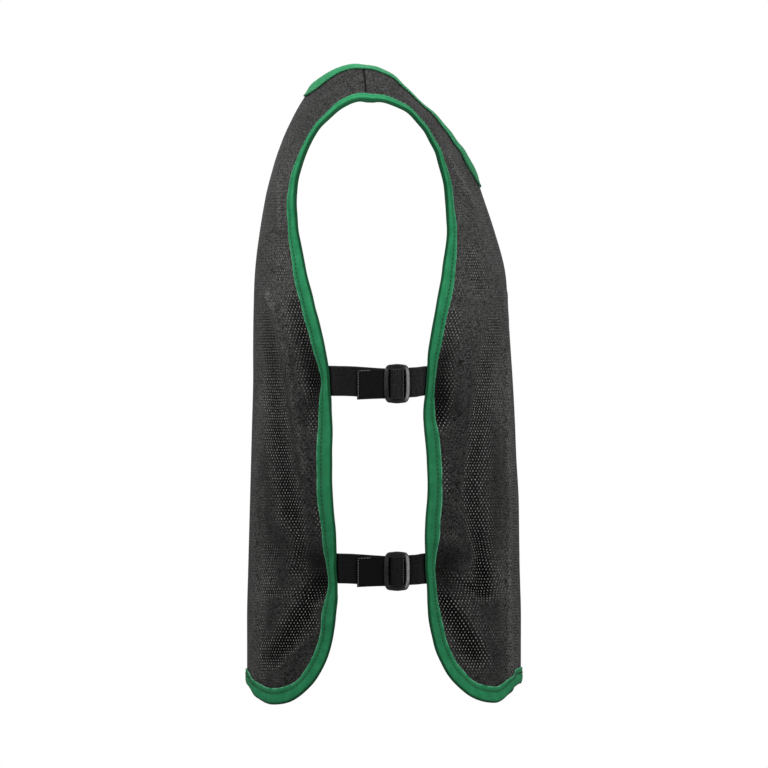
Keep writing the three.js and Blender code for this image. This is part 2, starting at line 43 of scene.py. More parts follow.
# The form of the cloth, in millimetres: +Z up, the wearer faces -Y, right side at -X.
# Level sections run from the middle to the side edge; turn is the angle in degrees that the
# cloth at the edge is turned from facing sideways to facing forward.
frontLevels = [
    dict(z=-657.4, mid=-155.5, half=183, edge=-63.5, turn=36),
    dict(z=-619.8, mid=-155.5, half=183, edge=-63.5, turn=37),
    dict(z=-582.2, mid=-155.5, half=183, edge=-63.5, turn=38),
    dict(z=-544.6, mid=-155.5, half=183, edge=-64, turn=44),
    dict(z=-507.0, mid=-154.4, half=182, edge=-62, turn=64),
    dict(z=-469.4, mid=-153.8, half=184, edge=-61, turn=32),
    dict(z=-431.8, mid=-153.2, half=183, edge=-63.5, turn=25),
    dict(z=-394.2, mid=-151, half=181, edge=-63, turn=26),
    dict(z=-356.6, mid=-149.5, half=178, edge=-60, turn=36),
    dict(z=-319.0, mid=-147.5, half=175, edge=-62.5, turn=64),
    dict(z=-281.4, mid=-145, half=171, edge=-65.5, turn=46),
    dict(z=-243.8, mid=-142.5, half=166, edge=-72, turn=36),
    dict(z=-206.2, mid=-139.5, half=160, edge=-78.5, turn=42),
    dict(z=-168.6, mid=-129.5, half=155, edge=-82.5, turn=56),
    dict(z=-131.0, mid=-117, half=152, edge=-80.5, turn=64),
]
backLevels = [
    dict(z=-131.0, mid=98.5, half=152, edge=69.5, turn=62),
    dict(z=-168.6, mid=105, half=155, edge=67.5, turn=54),
    dict(z=-206.2, mid=109.5, half=160, edge=60.5, turn=42),
    dict(z=-243.8, mid=111, half=166, edge=52, turn=30),
    dict(z=-281.4, mid=111.5, half=171, edge=42.5, turn=40),
    dict(z=-319.0, mid=111.5, half=175, edge=37.5, turn=64),
    dict(z=-356.6, mid=112.5, half=178, edge=34.5, turn=36),
    dict(z=-394.2, mid=113.5, half=181, edge=35, turn=25),
    dict(z=-431.8, mid=114.5, half=183, edge=34.5, turn=26),
    dict(z=-469.4, mid=115.5, half=184, edge=31, turn=35),
    dict(z=-507.0, mid=116.5, half=182, edge=30, turn=64),
    dict(z=-544.6, mid=117.5, half=183, edge=30, turn=46),
    dict(z=-582.2, mid=117.5, half=183, edge=29.5, turn=38),
    dict(z=-619.8, mid=117.5, half=183, edge=29.5, turn=37),
    dict(z=-657.4, mid=117.5, half=183, edge=29.5, turn=36),
]
# Sections that pass over the shoulder; fall is the slope at the edge
shoulderSections = [
    dict(midY=-105.5, midZ=-97, half=153, edgeY=-74, edgeZ=-97, turn=67, fall=2),
    dict(midY=-93, midZ=-76, half=157, edgeY=-65.5, edgeZ=-76, turn=72, fall=6),
    dict(midY=-79, midZ=-58, half=161, edgeY=-53.5, edgeZ=-58, turn=78, fall=14),
    dict(midY=-57, midZ=-38, half=164.5, edgeY=-39.5, edgeZ=-45.5, turn=84, fall=22),
    dict(midY=-33, midZ=-7, half=167, edgeY=-20.5, edgeZ=-37.8, turn=88, fall=30),
    dict(midY=0, midZ=13, half=168, edgeY=0, edgeZ=-35.6, turn=90, fall=33),
    dict(midY=26, midZ=7.5, half=167, edgeY=13, edgeZ=-37.2, turn=92, fall=31),
    dict(midY=45, midZ=-8, half=165, edgeY=26, edgeZ=-44, turn=95, fall=26),
    dict(midY=61.5, midZ=-35, half=162.5, edgeY=37.5, edgeZ=-54.5, turn=99, fall=20),
    dict(midY=72.5, midZ=-55, half=159.5, edgeY=47.5, edgeZ=-65, turn=104, fall=12),
    dict(midY=82.5, midZ=-77, half=156, edgeY=57, edgeZ=-81, turn=110, fall=5),
    dict(midY=91, midZ=-102, half=153, edgeY=64.5, edgeZ=-103, turn=114, fall=1),
]
clothCut = {
    "hemHeight": {"front": -635, "back": -636.5},
    "hemRise": {"front": 17.5, "back": 18},
    "hemSpread": {"front": 1.6, "back": 1},
    "cornerTop": -519.5,
    "cornerShare": {"front": 0.53, "back": 0.51},
    "cornerPower": {"front": 2.4, "back": 2.5},
    "neckShare": 0.47,
    "neckRow": {"front": 14.7, "back": 22.4},
    "middleReach": 0.45,  # straight run of a section at its two ends, as a share of its chord
    "edgeReach": 0.28,
}

# Folds as they lie seen from the side, each along its way of (y, z): valleys where depth is negative
folds = [
    dict(way=[(-87, -250), (-80, -300), (-75, -352)], width=11, depth=-1.6, endDepth=-4),
    dict(way=[(-104, -186), (-117, -224)], width=9, depth=-1.7),
    dict(
        way=[(-132, -256), (-121, -326), (-114, -376), (-106, -426), (-114, -471), (-121, -522)],
        width=12,
        depth=-1.5,
        endDepth=-3.8,
    ),
    dict(way=[(-83, -536), (-112, -587)], width=15, depth=-4.4),
    dict(way=[(-98, -300), (-92, -470)], width=9, depth=1.2),
    dict(way=[(71, -240), (50, -318)], width=13, depth=-3.2),
    dict(way=[(95, -231), (77.5, -298), (69, -353), (60, -408)], width=4.6, depth=2.5),
    dict(way=[(98, -256), (90, -356), (75, -451)], width=11, depth=-2.3, endDepth=-3.8),
    dict(way=[(45, -520), (91, -591)], width=13, depth=-4.4),
    dict(way=[(67, -465), (65, -506)], width=9, depth=-2),
    # the finer ones
    dict(way=[(84, -175), (83, -212)], width=6, depth=-1.6),
    dict(way=[(86, -118), (84, -166)], width=3.5, depth=1.3),
    dict(way=[(56, -318), (50, -358)], width=6, depth=-1.4),
    dict(way=[(48, -446), (45, -470)], width=5, depth=-1.3),
    dict(way=[(95, -486), (94, -524)], width=6, depth=-1.6),
    dict(way=[(97, -529), (60, -528)], width=4, depth=-1.8),
    dict(way=[(72, -584), (50, -560)], width=6, depth=-1.8),
    dict(way=[(60, -572), (88, -618)], width=7, depth=1.8),
    dict(way=[(47, -540), (38, -560)], width=6, depth=1.5),
    dict(way=[(108, -400), (109, -630)], width=3.5, depth=1.1),
    dict(way=[(102, -420), (103, -620)], width=4, depth=-1.0),
    dict(way=[(-80, -90), (-109, -140)], width=2.6, depth=2.2),
    dict(way=[(-98, -104), (-110, -128)], width=2.5, depth=-1.2),
    dict(way=[(-95, -138), (-97, -150)], width=5, depth=-1.3),
    dict(way=[(-141, -230), (-144, -610)], width=3.5, depth=2.6),
    dict(way=[(-148, -250), (-151, -610)], width=3, depth=-1.8),
    dict(way=[(-138, -260), (-140, -570)], width=4.5, depth=-0.9),
    dict(way=[(-80, -396), (-82, -424)], width=5, depth=-1.4),
    dict(way=[(-85, -428), (-92, -448)], width=5, depth=-1.2),
    dict(way=[(-74, -506), (-116, -527)], width=4.5, depth=-2.2),
    dict(way=[(-84, -524), (-130, -590)], width=6, depth=1.8),
    dict(way=[(-116, -486), (-122, -528)], width=7, depth=-1.4),
    dict(way=[(-75, -470), (-112, -492)], width=8, depth=1.4),
]
foldStart = 0.15  # the folds fade out towards the middle
leftFoldDrop = 14  # the left side's lie lower and are weaker
leftFoldShare = 0.8
# How much lower the cloth lies beside the tape of the neck, which stands up; reach and gone are
# shares of the neck's half width
neckDips = {
    "front": 3.6,
    "shoulder": -0.7,
    "back": 1.4,
    "reach": 0.26,
    "gone": 0.9,
    "middle": (0.1, 0.5),
}
# Where the neck's edge has settled along its way over the shoulder
neckSinks = [
    dict(y=-22, half=9, depth=-0.7),
    dict(y=2, half=13, depth=2.1),
    dict(y=47, half=11, depth=2.0),
]
neckSinkGone = 0.6
# Slow unevenness of a hanging cloth: size and the lengths of its waves
waver = {"size": 0.55, "alongY": 37.0, "alongZ": 83.0, "crossed": 53.0, "turn": 6.3}


def levelRow(level, turn):
    return [level["mid"], level["z"], level["half"], level["edge"], level["z"], turn, 0]


shoulderColumns = ("midY", "midZ", "half", "edgeY", "edgeZ", "turn", "fall")
sections = np.array(
    [levelRow(level, level["turn"]) for level in frontLevels]
    + [[row[name] for name in shoulderColumns] for row in shoulderSections]
    + [levelRow(level, 180 - level["turn"]) for level in backLevels],
    float,
)
lastRow = len(sections) - 1
shoulderRow = len(frontLevels) + [row["turn"] for row in shoulderSections].index(90)
levelRise = frontLevels[1]["z"] - frontLevels[0]["z"]
panelFacing = {"front": 1, "back": -1}


def unit(vectors):
    return vectors / np.linalg.norm(vectors, axis=-1, keepdims=True)


# Lengths along a line of points, from its start
def lengthsOf(points):
    return np.concatenate([[0], np.cumsum(np.linalg.norm(np.diff(points, axis=0), axis=1))])


# A cubic between two values with their slopes
def hermite(here, there, leave, arrive, f):
    cubic = 2 * here - 2 * there + leave + arrive
    square = 3 * there - 3 * here - 2 * leave - arrive
    return ((cubic * f + square) * f + leave) * f + here


# A cubic between two points with their handles
def bezier(start, leaving, arriving, end, s):
    t = 1 - s
    return start * t**3 + 3 * leaving * s * t**2 + 3 * arriving * s**2 * t + end * s**3


def sectionAt(row):
    k = np.clip(np.floor(row).astype(int), 0, lastRow - 1)
    f = (row - k)[..., None]
    before, here, there, after = (sections[np.clip(k + n, 0, lastRow)] for n in (-1, 0, 1, 2))
    return hermite(here, there, (there - before) / 2, (after - here) / 2, f)


def smoothPoint(share, row):
    midY, midZ, half, edgeY, edgeZ, turn, fall = np.moveaxis(sectionAt(row), -1, 0)
    turn, fall = np.radians(turn), np.radians(fall)
    none = np.zeros_like(midY)
    middle = np.stack([none, midY, midZ], -1)
    edge = np.stack([half, edgeY, edgeZ], -1)
    chord = np.linalg.norm(edge - middle, axis=-1, keepdims=True)
    heading = np.stack([np.sin(turn) * np.cos(fall), np.cos(turn) * np.cos(fall), -np.sin(fall)], -1)
    leaving = middle + chord * clothCut["middleReach"] * np.array([1.0, 0.0, 0.0])
    arriving = edge - chord * clothCut["edgeReach"] * heading
    return bezier(middle, leaving, arriving, edge, share[..., None])


smallStep = 0.01
tiny = 1e-6


def slopesOf(surface, share, row):
    across = (surface(share + smallStep, row) - surface(share - smallStep, row)) / (2 * smallStep)
    along = (surface(share, row + smallStep) - surface(share, row - smallStep)) / (2 * smallStep)
    return across, along


def normalOf(surface, share, row):
    return unit(np.cross(*slopesOf(surface, share, row)))


def smooth01(x, low, high):
    t = np.clip((x - low) / (high - low), 0, 1)
    return t * t * (3 - 2 * t)


def foldDepth(y, z):
    depth = np.zeros_like(y)
    for fold in folds:
        way = np.array(fold["way"], float)
        passed = lengthsOf(way) / lengthsOf(way)[-1]
        nearest, share = np.full_like(y, np.inf), np.zeros_like(y)
        for here, run, before, after in zip(way, np.diff(way, axis=0), passed, passed[1:]):
            offY, offZ = y - here[0], z - here[1]
            reached = np.clip((offY * run[0] + offZ * run[1]) / (run**2).sum(), 0, 1)
            far = (offY - reached * run[0]) ** 2 + (offZ - reached * run[1]) ** 2
            share = np.where(far < nearest, before + reached * (after - before), share)
            nearest = np.minimum(far, nearest)
        deepest = fold["depth"] + share * (fold.get("endDepth", fold["depth"]) - fold["depth"])
        depth += deepest * np.exp(-nearest / fold["width"] ** 2)
    return depth


def sideFolds(share, row, side):
    point = smoothPoint(share, row)
    drop = np.where(side > 0, leftFoldDrop, 0)
    strength = np.where(side > 0, leftFoldShare, 1)
    depth = strength * foldDepth(point[..., 1], point[..., 2] + drop)
    return point, depth * smooth01(share, 0, foldStart)


def neckDip(share, row, y):
    low = np.where(row < shoulderRow, clothCut["neckRow"]["front"], clothCut["neckRow"]["back"])
    down = (row - shoulderRow) / (low - shoulderRow)
    out = np.sqrt((share / clothCut["neckShare"]) ** 2 + down**2) - 1
    deepest = np.where(row < shoulderRow, neckDips["front"], neckDips["back"]) - neckDips["shoulder"]
    depth = neckDips["shoulder"] + deepest * np.clip(down, 0, 1) ** 2
    depth = depth * smooth01(share / clothCut["neckShare"], *neckDips["middle"])
    reach, gone = neckDips["reach"], neckDips["gone"]
    dip = depth * smooth01(out, 0, reach) * (1 - smooth01(out, reach, gone))
    sunk = sum(sink["depth"] * np.exp(-(((y - sink["y"]) / sink["half"]) ** 2)) for sink in neckSinks)
    return dip + sunk * (1 - smooth01(out, 0, neckSinkGone))


def foldedPoint(share, row, side):
    point, depth = sideFolds(share, row, side)
    y, z = point[..., 1], point[..., 2]
    depth = depth - neckDip(share, row, y)
    turn = waver["turn"]
    wave = np.sin(y / waver["alongY"] * turn + np.sin(z / waver["alongZ"] * turn))
    wave = wave * np.sin(z / waver["crossed"] * turn + y / waver["alongZ"] * turn)
    depth = depth + waver["size"] * wave * smooth01(share, 0, foldStart)
    return point + depth[..., None] * normalOf(smoothPoint, share, row)


# A place on the cloth of one side, in metres, a distance in millimetres off its middle
def sheetPoint(share, row, side, offset=0.0):
    surface = lambda s, r: foldedPoint(s, r, side)
    offsets = np.broadcast_to(offset, share.shape)[..., None]
    point = surface(share, row) + offsets * normalOf(surface, share, row)
    point[..., 0] = np.where(share == 0, 0, point[..., 0] * side)
    return point * mm


def rowOfHeight(panel, z):
    fromHem = (np.asarray(z, float) - frontLevels[0]["z"]) / levelRise
    return fromHem if panel == "front" else lastRow - fromHem


# Places along a line, spread evenly over its length
def spread(share, row, count):
    length = lengthsOf(smoothPoint(share, row))
    wanted = np.linspace(0, 1, count + 1) * length[-1]
    return np.interp(wanted, length, share), np.interp(wanted, length, row), length[-1]


lineSteps = 400
fine = np.linspace(0, 1, lineSteps)


def hemPlaces(panel):
    share = fine * (1 - clothCut["cornerShare"][panel])
    rise = clothCut["hemRise"][panel] * (1 + np.cos(math.pi * fine ** clothCut["hemSpread"][panel])) / 2
    return share, rowOfHeight(panel, clothCut["hemHeight"][panel] + rise)


def cornerPlaces(panel):
    power = 2 / clothCut["cornerPower"][panel]
    outwards = np.sin(fine * math.pi / 2) ** power
    downwards = np.clip(np.cos(fine * math.pi / 2), 0, 1) ** power
    share = 1 - clothCut["cornerShare"][panel] * (1 - outwards)
    top = clothCut["cornerTop"]
    return share, rowOfHeight(panel, top + (clothCut["hemHeight"][panel] - top) * downwards)


def sidePlaces(panel, endRow):
    rows = np.linspace(rowOfHeight(panel, clothCut["cornerTop"]), endRow, 3 * lineSteps)
    return np.ones_like(rows), rows


def neckPlaces(panel):
    low = clothCut["neckRow"][panel]
    share = clothCut["neckShare"] * np.sin(fine * math.pi / 2)
    return share, shoulderRow + (low - shoulderRow) * np.cos(fine * math.pi / 2)


# Lines of shares and rows, each of which starts where the one before ends
def joined(first, *others):
    return [np.concatenate([first[n], *(line[n][1:] for line in others)]) for n in (0, 1)]


def backwards(line):
    return line[0][::-1], line[1][::-1]


def panelEdge(panel):
    return joined(hemPlaces(panel), cornerPlaces(panel), sidePlaces(panel, shoulderRow))


# From the front's middle over the shoulder to the back's middle
def edgeLine():
    return joined(panelEdge("front"), backwards(panelEdge("back")))


def neckLine():
    return joined(neckPlaces("front"), backwards(neckPlaces("back")))


# How far share and row go for each millimetre from a line into the cloth
def inwardSteps(share, row, facing):
    across, along = slopesOf(smoothPoint, share, row)
    points = smoothPoint(share, row)
    tangent = np.gradient(points, axis=0)
    tangent[0], tangent[-1] = [1, 0, 0], [-1, 0, 0]
    inward = facing * unit(np.cross(np.cross(across, along), tangent))
    aa, ab, bb = ((p * q).sum(-1) for p, q in ((across, across), (across, along), (along, along)))
    ai, bi = (across * inward).sum(-1), (along * inward).sum(-1)
    spreadOf = aa * bb - ab**2
    return (ai * bb - bi * ab) / spreadOf, (bi * aa - ai * ab) / spreadOf, inward


print("form ready", len(sections), "sections")


# A node's socket, whose arithmetic adds Math nodes
class Wire:
    def __init__(self, tree, socket):
        self.tree, self.socket = tree, socket

    def maths(self, operation, first, second=None):
        made = self.tree.nodes.new("ShaderNodeMath")
        made.operation = operation
        for socket, value in zip(made.inputs, (first, second)):
            if isinstance(value, Wire):
                self.tree.links.new(value.socket, socket)
            elif value is not None:
                socket.default_value = value
        return Wire(self.tree, made.outputs[0])

    def alone(self, operation):
        return self.maths(operation, self)

    def least(self, other):
        return self.maths("MINIMUM", self, other)

    def __add__(self, other):
        return self.maths("ADD", self, other)

    def __radd__(self, other):
        return self.maths("ADD", other, self)

    def __sub__(self, other):
        return self.maths("SUBTRACT", self, other)

    def __rsub__(self, other):
        return self.maths("SUBTRACT", other, self)

    def __mul__(self, other):
        return self.maths("MULTIPLY", self, other)

    def __rmul__(self, other):
        return self.maths("MULTIPLY", other, self)

    def __truediv__(self, other):
        return self.maths("DIVIDE", self, other)

    def __rtruediv__(self, other):
        return self.maths("DIVIDE", other, self)

    def __pow__(self, other):
        return self.maths("POWER", self, other)

    def __rpow__(self, other):
        return self.maths("POWER", other, self)


class Nodes:
    def __init__(self, tree):
        self.tree = tree

    # Any node: settings first, then its sockets' values or links
    def node(self, kind, settings=None, sockets=None, out=0):
        made = self.tree.nodes.new(kind)
        for key, value in (settings or {}).items():
            setattr(made, key, value)
        for key, value in (sockets or {}).items():
            if isinstance(value, Wire):
                self.tree.links.new(value.socket, made.inputs[key])
            else:
                made.inputs[key].default_value = value
        return Wire(self.tree, made.outputs[out])


fullTurn = 6.283


class Finish(Nodes):
    def __init__(self, name, **constants):
        self.material = bpy.data.materials.new(name)
        self.material.use_nodes = True
        super().__init__(self.material.node_tree)
        self.surface = self.tree.nodes["Principled BSDF"]
        for socket, value in constants.items():
            self.surface.inputs[socket.replace("_", " ")].default_value = value

    def clothUv(self):
        return self.node("ShaderNodeUVMap", {"uv_map": "cloth"})

    def place(self):
        return self.node("ShaderNodeTexCoord", out=3)

    def attribute(self, name):
        return self.node("ShaderNodeAttribute", {"attribute_name": name}, out=2)

    def parts(self, vector):
        split = self.node("ShaderNodeSeparateXYZ", None, {0: vector})
        return [Wire(self.tree, socket) for socket in split.socket.node.outputs]

    def step(self, value, low, high):
        sockets = {"Value": value, "From Min": low, "From Max": high}
        return self.node("ShaderNodeMapRange", {"interpolation_type": "SMOOTHSTEP"}, sockets)

    def mix(self, share, first, second, blend="MIX"):
        settings = {"data_type": "RGBA", "blend_type": blend}
        return self.node("ShaderNodeMix", settings, {"Factor": share, 6: first, 7: second}, out=2)

    def noise(self, vector, scale, detail=2.0, distortion=0.0):
        sockets = {"Vector": vector, "Scale": scale, "Detail": detail, "Distortion": distortion}
        return self.node("ShaderNodeTexNoise", None, sockets)

    def sine(self, length, pitch):
        return (length * (fullTurn / pitch)).alone("SINE")

    def feed(self, socket, value):
        self.tree.links.new(value.socket, self.surface.inputs[socket])

    def bump(self, height, distance, strength=1.0, under=None):
        sockets = {"Height": height, "Distance": distance, "Strength": strength}
        if under:
            sockets["Normal"] = under
        return self.node("ShaderNodeBump", None, sockets)


def colour(r, g, b):
    return (r, g, b, 1)


# Black knit with holes: plain where it lies taut; in its folds painted shade, with painted light in
# the holes, and painted highlight on its ridges. Shades run from a ridge, below nought, to a valley.
meshLook = {
    "holePitch": 5.2 * mm,
    "rowPitch": 2.9 * mm,
    "holeRadius": 0.72 * mm,
    "holeEdge": (0.75, 1.25),  # shares of the radius
    "holeDepth": 0.4 * mm,
    # painted light in the holes where the cloth folds, painted shade in them where it lies taut
    "paintedHoleLight": colour(0.35, 0.345, 0.325),
    "paintedHoleShade": colour(0.004, 0.004, 0.004),
    "holeShades": (-0.1, 0.5),
    "holeLeast": 0.25,  # how light the dullest of them are
    "sparkSize": 230.0,
    "sparkRange": (0.3, 0.68),
    "plain": colour(0.062, 0.062, 0.0605),
    # painted shade in the valleys and painted highlight on the ridges
    "valley": colour(0.0026, 0.0026, 0.0026),
    "valleyShades": (-0.1, 1.4),
    "paintedRidgeLight": colour(0.092, 0.092, 0.089),
    "ridgeShades": (-0.1, -0.7),
    "cloudSize": 22.0,
    "cloudShare": 0.8,
    "fibre": dict(stretch=(1, 1, 1), size=510.0, tangle=1.4, share=0.65),
    "courses": dict(stretch=(0.4, 0.4, 1.25), size=540.0, tangle=0.6, share=0.35),
    "speckle": dict(least=0.2, more=1.6, grain=(0.36, 0.64)),
    "knit": {"Scale": 120.0, "Distortion": 3.0, "Detail": 2.0},
    "knitDepth": 0.35 * mm,
    # painted shade: the shoulders darker, and the sides darker lower down
    "paintedShoulderShade": colour(0.6, 0.6, 0.6),
    "paintedShoulderHeights": (-110 * mm, -50 * mm),
    "paintedFalloffShade": colour(0.45, 0.45, 0.45),
    "paintedFalloffHeights": (-235 * mm, -360 * mm),
    "paintedFalloffReach": (60 * mm, 108 * mm),  # how far out from the middle the painted shade of the sides starts and ends
    "sewn": colour(0.34, 0.34, 0.34),  # where the webbing lies behind the cloth
    "sewnPlaces": ((-319 * mm, 52 * mm), (-506 * mm, 34 * mm)),  # each height, and how far it fades
    "sewnFade": (0.25, 1.0),
    "sewnReach": (126 * mm, 156 * mm),
    "sewnDull": 0.8,
    "seam": colour(0.003, 0.003, 0.003),
    "seamHalf": 0.6 * mm,
    "seamStart": 6.5 * mm,  # where the seam would leave the neck's middle, and how fast it turns
    "seamFall": 0.0375,
}


def meshFinish():
    look = meshLook
    finish = Finish("meshCloth", Specular_IOR_Level=0.04, Sheen_Weight=0.015, Sheen_Roughness=0.5)
    uv, place = finish.clothUv(), finish.place()
    across, up, _ = finish.parts(uv)

    # two staggered sets of holes
    def holesAt(shift):
        pitch, rise = look["holePitch"], 2 * look["rowPitch"]
        inPitch = (across / pitch + shift).alone("FRACT") - 0.5
        inRow = (up / rise + shift).alone("FRACT") - 0.5
        return ((inPitch * pitch) ** 2 + (inRow * rise) ** 2).alone("SQRT")

    def strands(name):
        kind = look[name]
        stretched = finish.node("ShaderNodeMapping", None, {"Vector": place, "Scale": kind["stretch"]})
        return kind["share"] * finish.noise(stretched, kind["size"], 2.0, kind["tangle"])

    nearest = holesAt(0.0).least(holesAt(0.5))
    hole = 1 - finish.step(nearest, *(share * look["holeRadius"] for share in look["holeEdge"]))
    grain = strands("fibre") + strands("courses")
    cloud = finish.noise(uv, look["cloudSize"], 4.0)
    spark = finish.step(finish.noise(uv, look["sparkSize"], 1.0), *look["sparkRange"])
    shade = finish.attribute("foldShade") + look["cloudShare"] * (cloud - 0.5)
    # painted shade in the folds' valleys, painted highlight on their ridges
    ground = finish.mix(finish.step(shade, *look["valleyShades"]), look["plain"], look["valley"])
    ground = finish.mix(finish.step(shade, *look["ridgeShades"]), ground, look["paintedRidgeLight"])
    speckle = look["speckle"]
    strength = speckle["least"] + speckle["more"] * finish.step(grain, *speckle["grain"])
    grey = finish.node("ShaderNodeCombineColor", None, {n: strength for n in range(3)})
    ground = finish.mix(1.0, ground, grey, "MULTIPLY")

    # painted shade at the shoulders and down the lower sides; darker also over the straps' ends
    sideways, _, height = finish.parts(place)
    outward = sideways.alone("ABSOLUTE")
    paintedFalloffShade = finish.step(outward, *look["paintedFalloffReach"]) * finish.step(height, *look["paintedFalloffHeights"])
    upper, lower = (((height - z) / fade).alone("ABSOLUTE") for z, fade in look["sewnPlaces"])
    offStrap = finish.step(upper.least(lower), *look["sewnFade"])
    sewn = finish.step(outward, *look["sewnReach"]) * (1 - offStrap)
    # painted shade at the shoulders
    paintedShoulderShade = finish.step(height, *look["paintedShoulderHeights"])
    for part, here in {"paintedShoulderShade": paintedShoulderShade, "paintedFalloffShade": paintedFalloffShade, "sewn": sewn}.items():
        ground = finish.mix(here, ground, look[part], "MULTIPLY")

    # painted light in the holes, strongest in the folds and varying at random from hole to hole
    lit = finish.step(shade, *look["holeShades"]) * (look["holeLeast"] + (1 - look["holeLeast"]) * spark)
    paintedHoleTone = finish.mix(lit * (1 - look["sewnDull"] * sewn), look["paintedHoleShade"], look["paintedHoleLight"])
    pierced = finish.mix(hole, ground, paintedHoleTone)
    aslant = up - look["seamStart"] + look["seamFall"] * across.alone("ABSOLUTE")
    seam = 1 - finish.step(aslant.alone("ABSOLUTE"), look["seamHalf"], 1.8 * look["seamHalf"])
    finish.feed("Base Color", finish.mix(seam, pierced, look["seam"]))
    finish.feed("Roughness", 0.8 + 0.15 * grain)
    bands = {"wave_type": "BANDS", "bands_direction": "Y"}
    knit = finish.node("ShaderNodeTexWave", bands, {"Vector": uv, **look["knit"]})
    rough = finish.bump(grain * 0.6 + knit * 0.4, look["knitDepth"], 0.6)
    finish.feed("Normal", finish.bump(1 - hole, look["holeDepth"], 0.7, rough))
    return finish.material


tapeLook = {
    "face": colour(0.0165, 0.208, 0.08),
    "light": colour(0.03, 0.276, 0.114),
    "cloudSize": 90.0,
    "grainSize": 900.0,
    # painted shade: the tape darker lower down, less so at the hem
    "paintedFalloffShade": colour(0.7, 0.7, 0.7),
    "paintedFalloffHeights": (-200 * mm, -380 * mm),
    "hemHeights": (-540 * mm, -625 * mm),
    "hemShare": 0.7,  # how far the painted shade eases off again at the hem
    # painted shade in the stitch line's groove, and painted shadow under the neck's tape
    "paintedGrooveShade": colour(0.004, 0.055, 0.02),
    # painted shade on the fold's turned-under edge
    "under": colour(0.0035, 0.055, 0.02),
    # painted highlight along the tape's inner edge
    "rim": colour(0.13, 0.42, 0.25),
    "weavePitch": 0.9 * mm,
    "weaveDepth": 0.22 * mm,
}


def tapeFinish():
    look = tapeLook
    finish = Finish("greenTape", Specular_IOR_Level=0.1, Sheen_Weight=0.02, Sheen_Roughness=0.4)
    uv = finish.clothUv()
    along, across, _ = finish.parts(uv)
    cloud = finish.noise(uv, look["cloudSize"], 4.0)
    grain = finish.noise(uv, look["grainSize"], 2.0)
    twill = finish.sine(along + across, look["weavePitch"])
    height = finish.parts(finish.place())[2]
    # painted shade lower down, easing off at the hem
    atHem = look["hemShare"] * finish.step(height, *look["hemHeights"])
    paintedFalloffShade = finish.step(height, *look["paintedFalloffHeights"]) * (1 - atHem)
    tone = finish.mix(finish.step(cloud, 0.25, 0.75), look["face"], look["light"])
    tone = finish.mix(paintedFalloffShade, tone, look["paintedFalloffShade"], "MULTIPLY")
    # painted shade along the stitches, and painted shadow on the neck's outermost strip
    tone = finish.mix(finish.attribute("paintedStitchShade") * (0.5 + 0.5 * grain), tone, look["paintedGrooveShade"])
    # painted highlight on the outermost strip
    tone = finish.mix(finish.attribute("rim") * finish.step(cloud, 0.35, 0.6), tone, look["rim"])
    # painted shade on the fold's turned edge
    tone = finish.mix(finish.attribute("paintedFoldShade"), tone, look["under"])
    finish.feed("Base Color", tone)
    finish.feed("Roughness", 0.62 + 0.2 * grain)
    finish.feed("Normal", finish.bump(0.5 * grain + 0.25 * twill, look["weaveDepth"], 0.55))
    return finish.material


# The tape's thread is painted lighter near the top, as painted light from above
threadLook = {
    "tape": dict(tone=(0.002, 0.028, 0.011), paintedTopLight=(0.013, 0.17, 0.065)),
    "grey": dict(tone=(0.14, 0.14, 0.14), paintedTopLight=(0.14, 0.14, 0.14)),
    "paintedTopLightHeights": (-170 * mm, -90 * mm),
    "darker": 0.6,
    "fibreSize": 2400.0,
}


def threadFinish(name, kind):
    look = threadLook
    finish = Finish(name, Roughness=0.6)
    place = finish.place()
    fibre = finish.noise(place, look["fibreSize"], 2.0)
    tone = look[kind]["tone"]
    dark = colour(*(look["darker"] * part for part in tone))
    # painted light from above on the upper stitches
    high = finish.step(finish.parts(place)[2], *look["paintedTopLightHeights"])
    spun = finish.mix(fibre, dark, colour(*tone))
    finish.feed("Base Color", finish.mix(high, spun, colour(*look[kind]["paintedTopLight"])))
    finish.feed("Normal", finish.bump(fibre, 0.08 * mm, 0.5))
    return finish.material


webbingLook = {
    "dark": colour(0.0015, 0.0015, 0.0016),
    "rib": colour(0.042, 0.042, 0.0415),
    "ribPitch": 2.2 * mm,
    "warpPitch": 2.6 * mm,
    "weaveDepth": 0.3 * mm,
    "selvedge": 13.6 * mm,
    "selvedgeShare": 0.35,
    "grainSize": 420.0,
    "cloudSize": 70.0,
    "paintedLowShade": 0.5,  # painted shade: the lower straps are darker
    "paintedLowHeights": (-380 * mm, -470 * mm),
}


def webbingFinish():
    look = webbingLook
    finish = Finish("blackWebbing", Specular_IOR_Level=0.06)
    uv = finish.clothUv()
    along, across, _ = finish.parts(uv)
    rib = finish.sine(along, look["ribPitch"])
    warp = finish.sine(across, look["warpPitch"])
    grain = finish.noise(uv, look["grainSize"], 3.0)
    cloud = finish.noise(uv, look["cloudSize"], 3.0)
    border = finish.step(across.alone("ABSOLUTE"), look["selvedge"], look["selvedge"] + 0.5 * mm)
    weave = 0.5 + 0.22 * rib * warp + 0.08 * rib
    shown = weave * (0.45 + 0.55 * finish.step(grain, 0.3, 0.7)) * (0.7 + 0.3 * cloud)
    # painted shade on the lower straps
    height = finish.parts(finish.place())[2]
    kept = 1 - look["paintedLowShade"] * finish.step(height, *look["paintedLowHeights"])
    # painted shade of the tail, the back straps and the lower straps
    shown = (shown + border * look["selvedgeShare"]) * finish.attribute("paintedWebLight") * kept
    finish.feed("Base Color", finish.mix(shown, look["dark"], look["rib"]))
    finish.feed("Roughness", 0.5 + 0.25 * grain)
    finish.feed("Normal", finish.bump(weave, look["weaveDepth"], 0.4))
    return finish.material


plasticLook = {
    "tone": colour(0.006, 0.006, 0.0063),
    "worn": colour(0.011, 0.011, 0.011),
    "wearSize": 160.0,
    "grainSize": 1800.0,
    "grainDepth": 0.05 * mm,
}


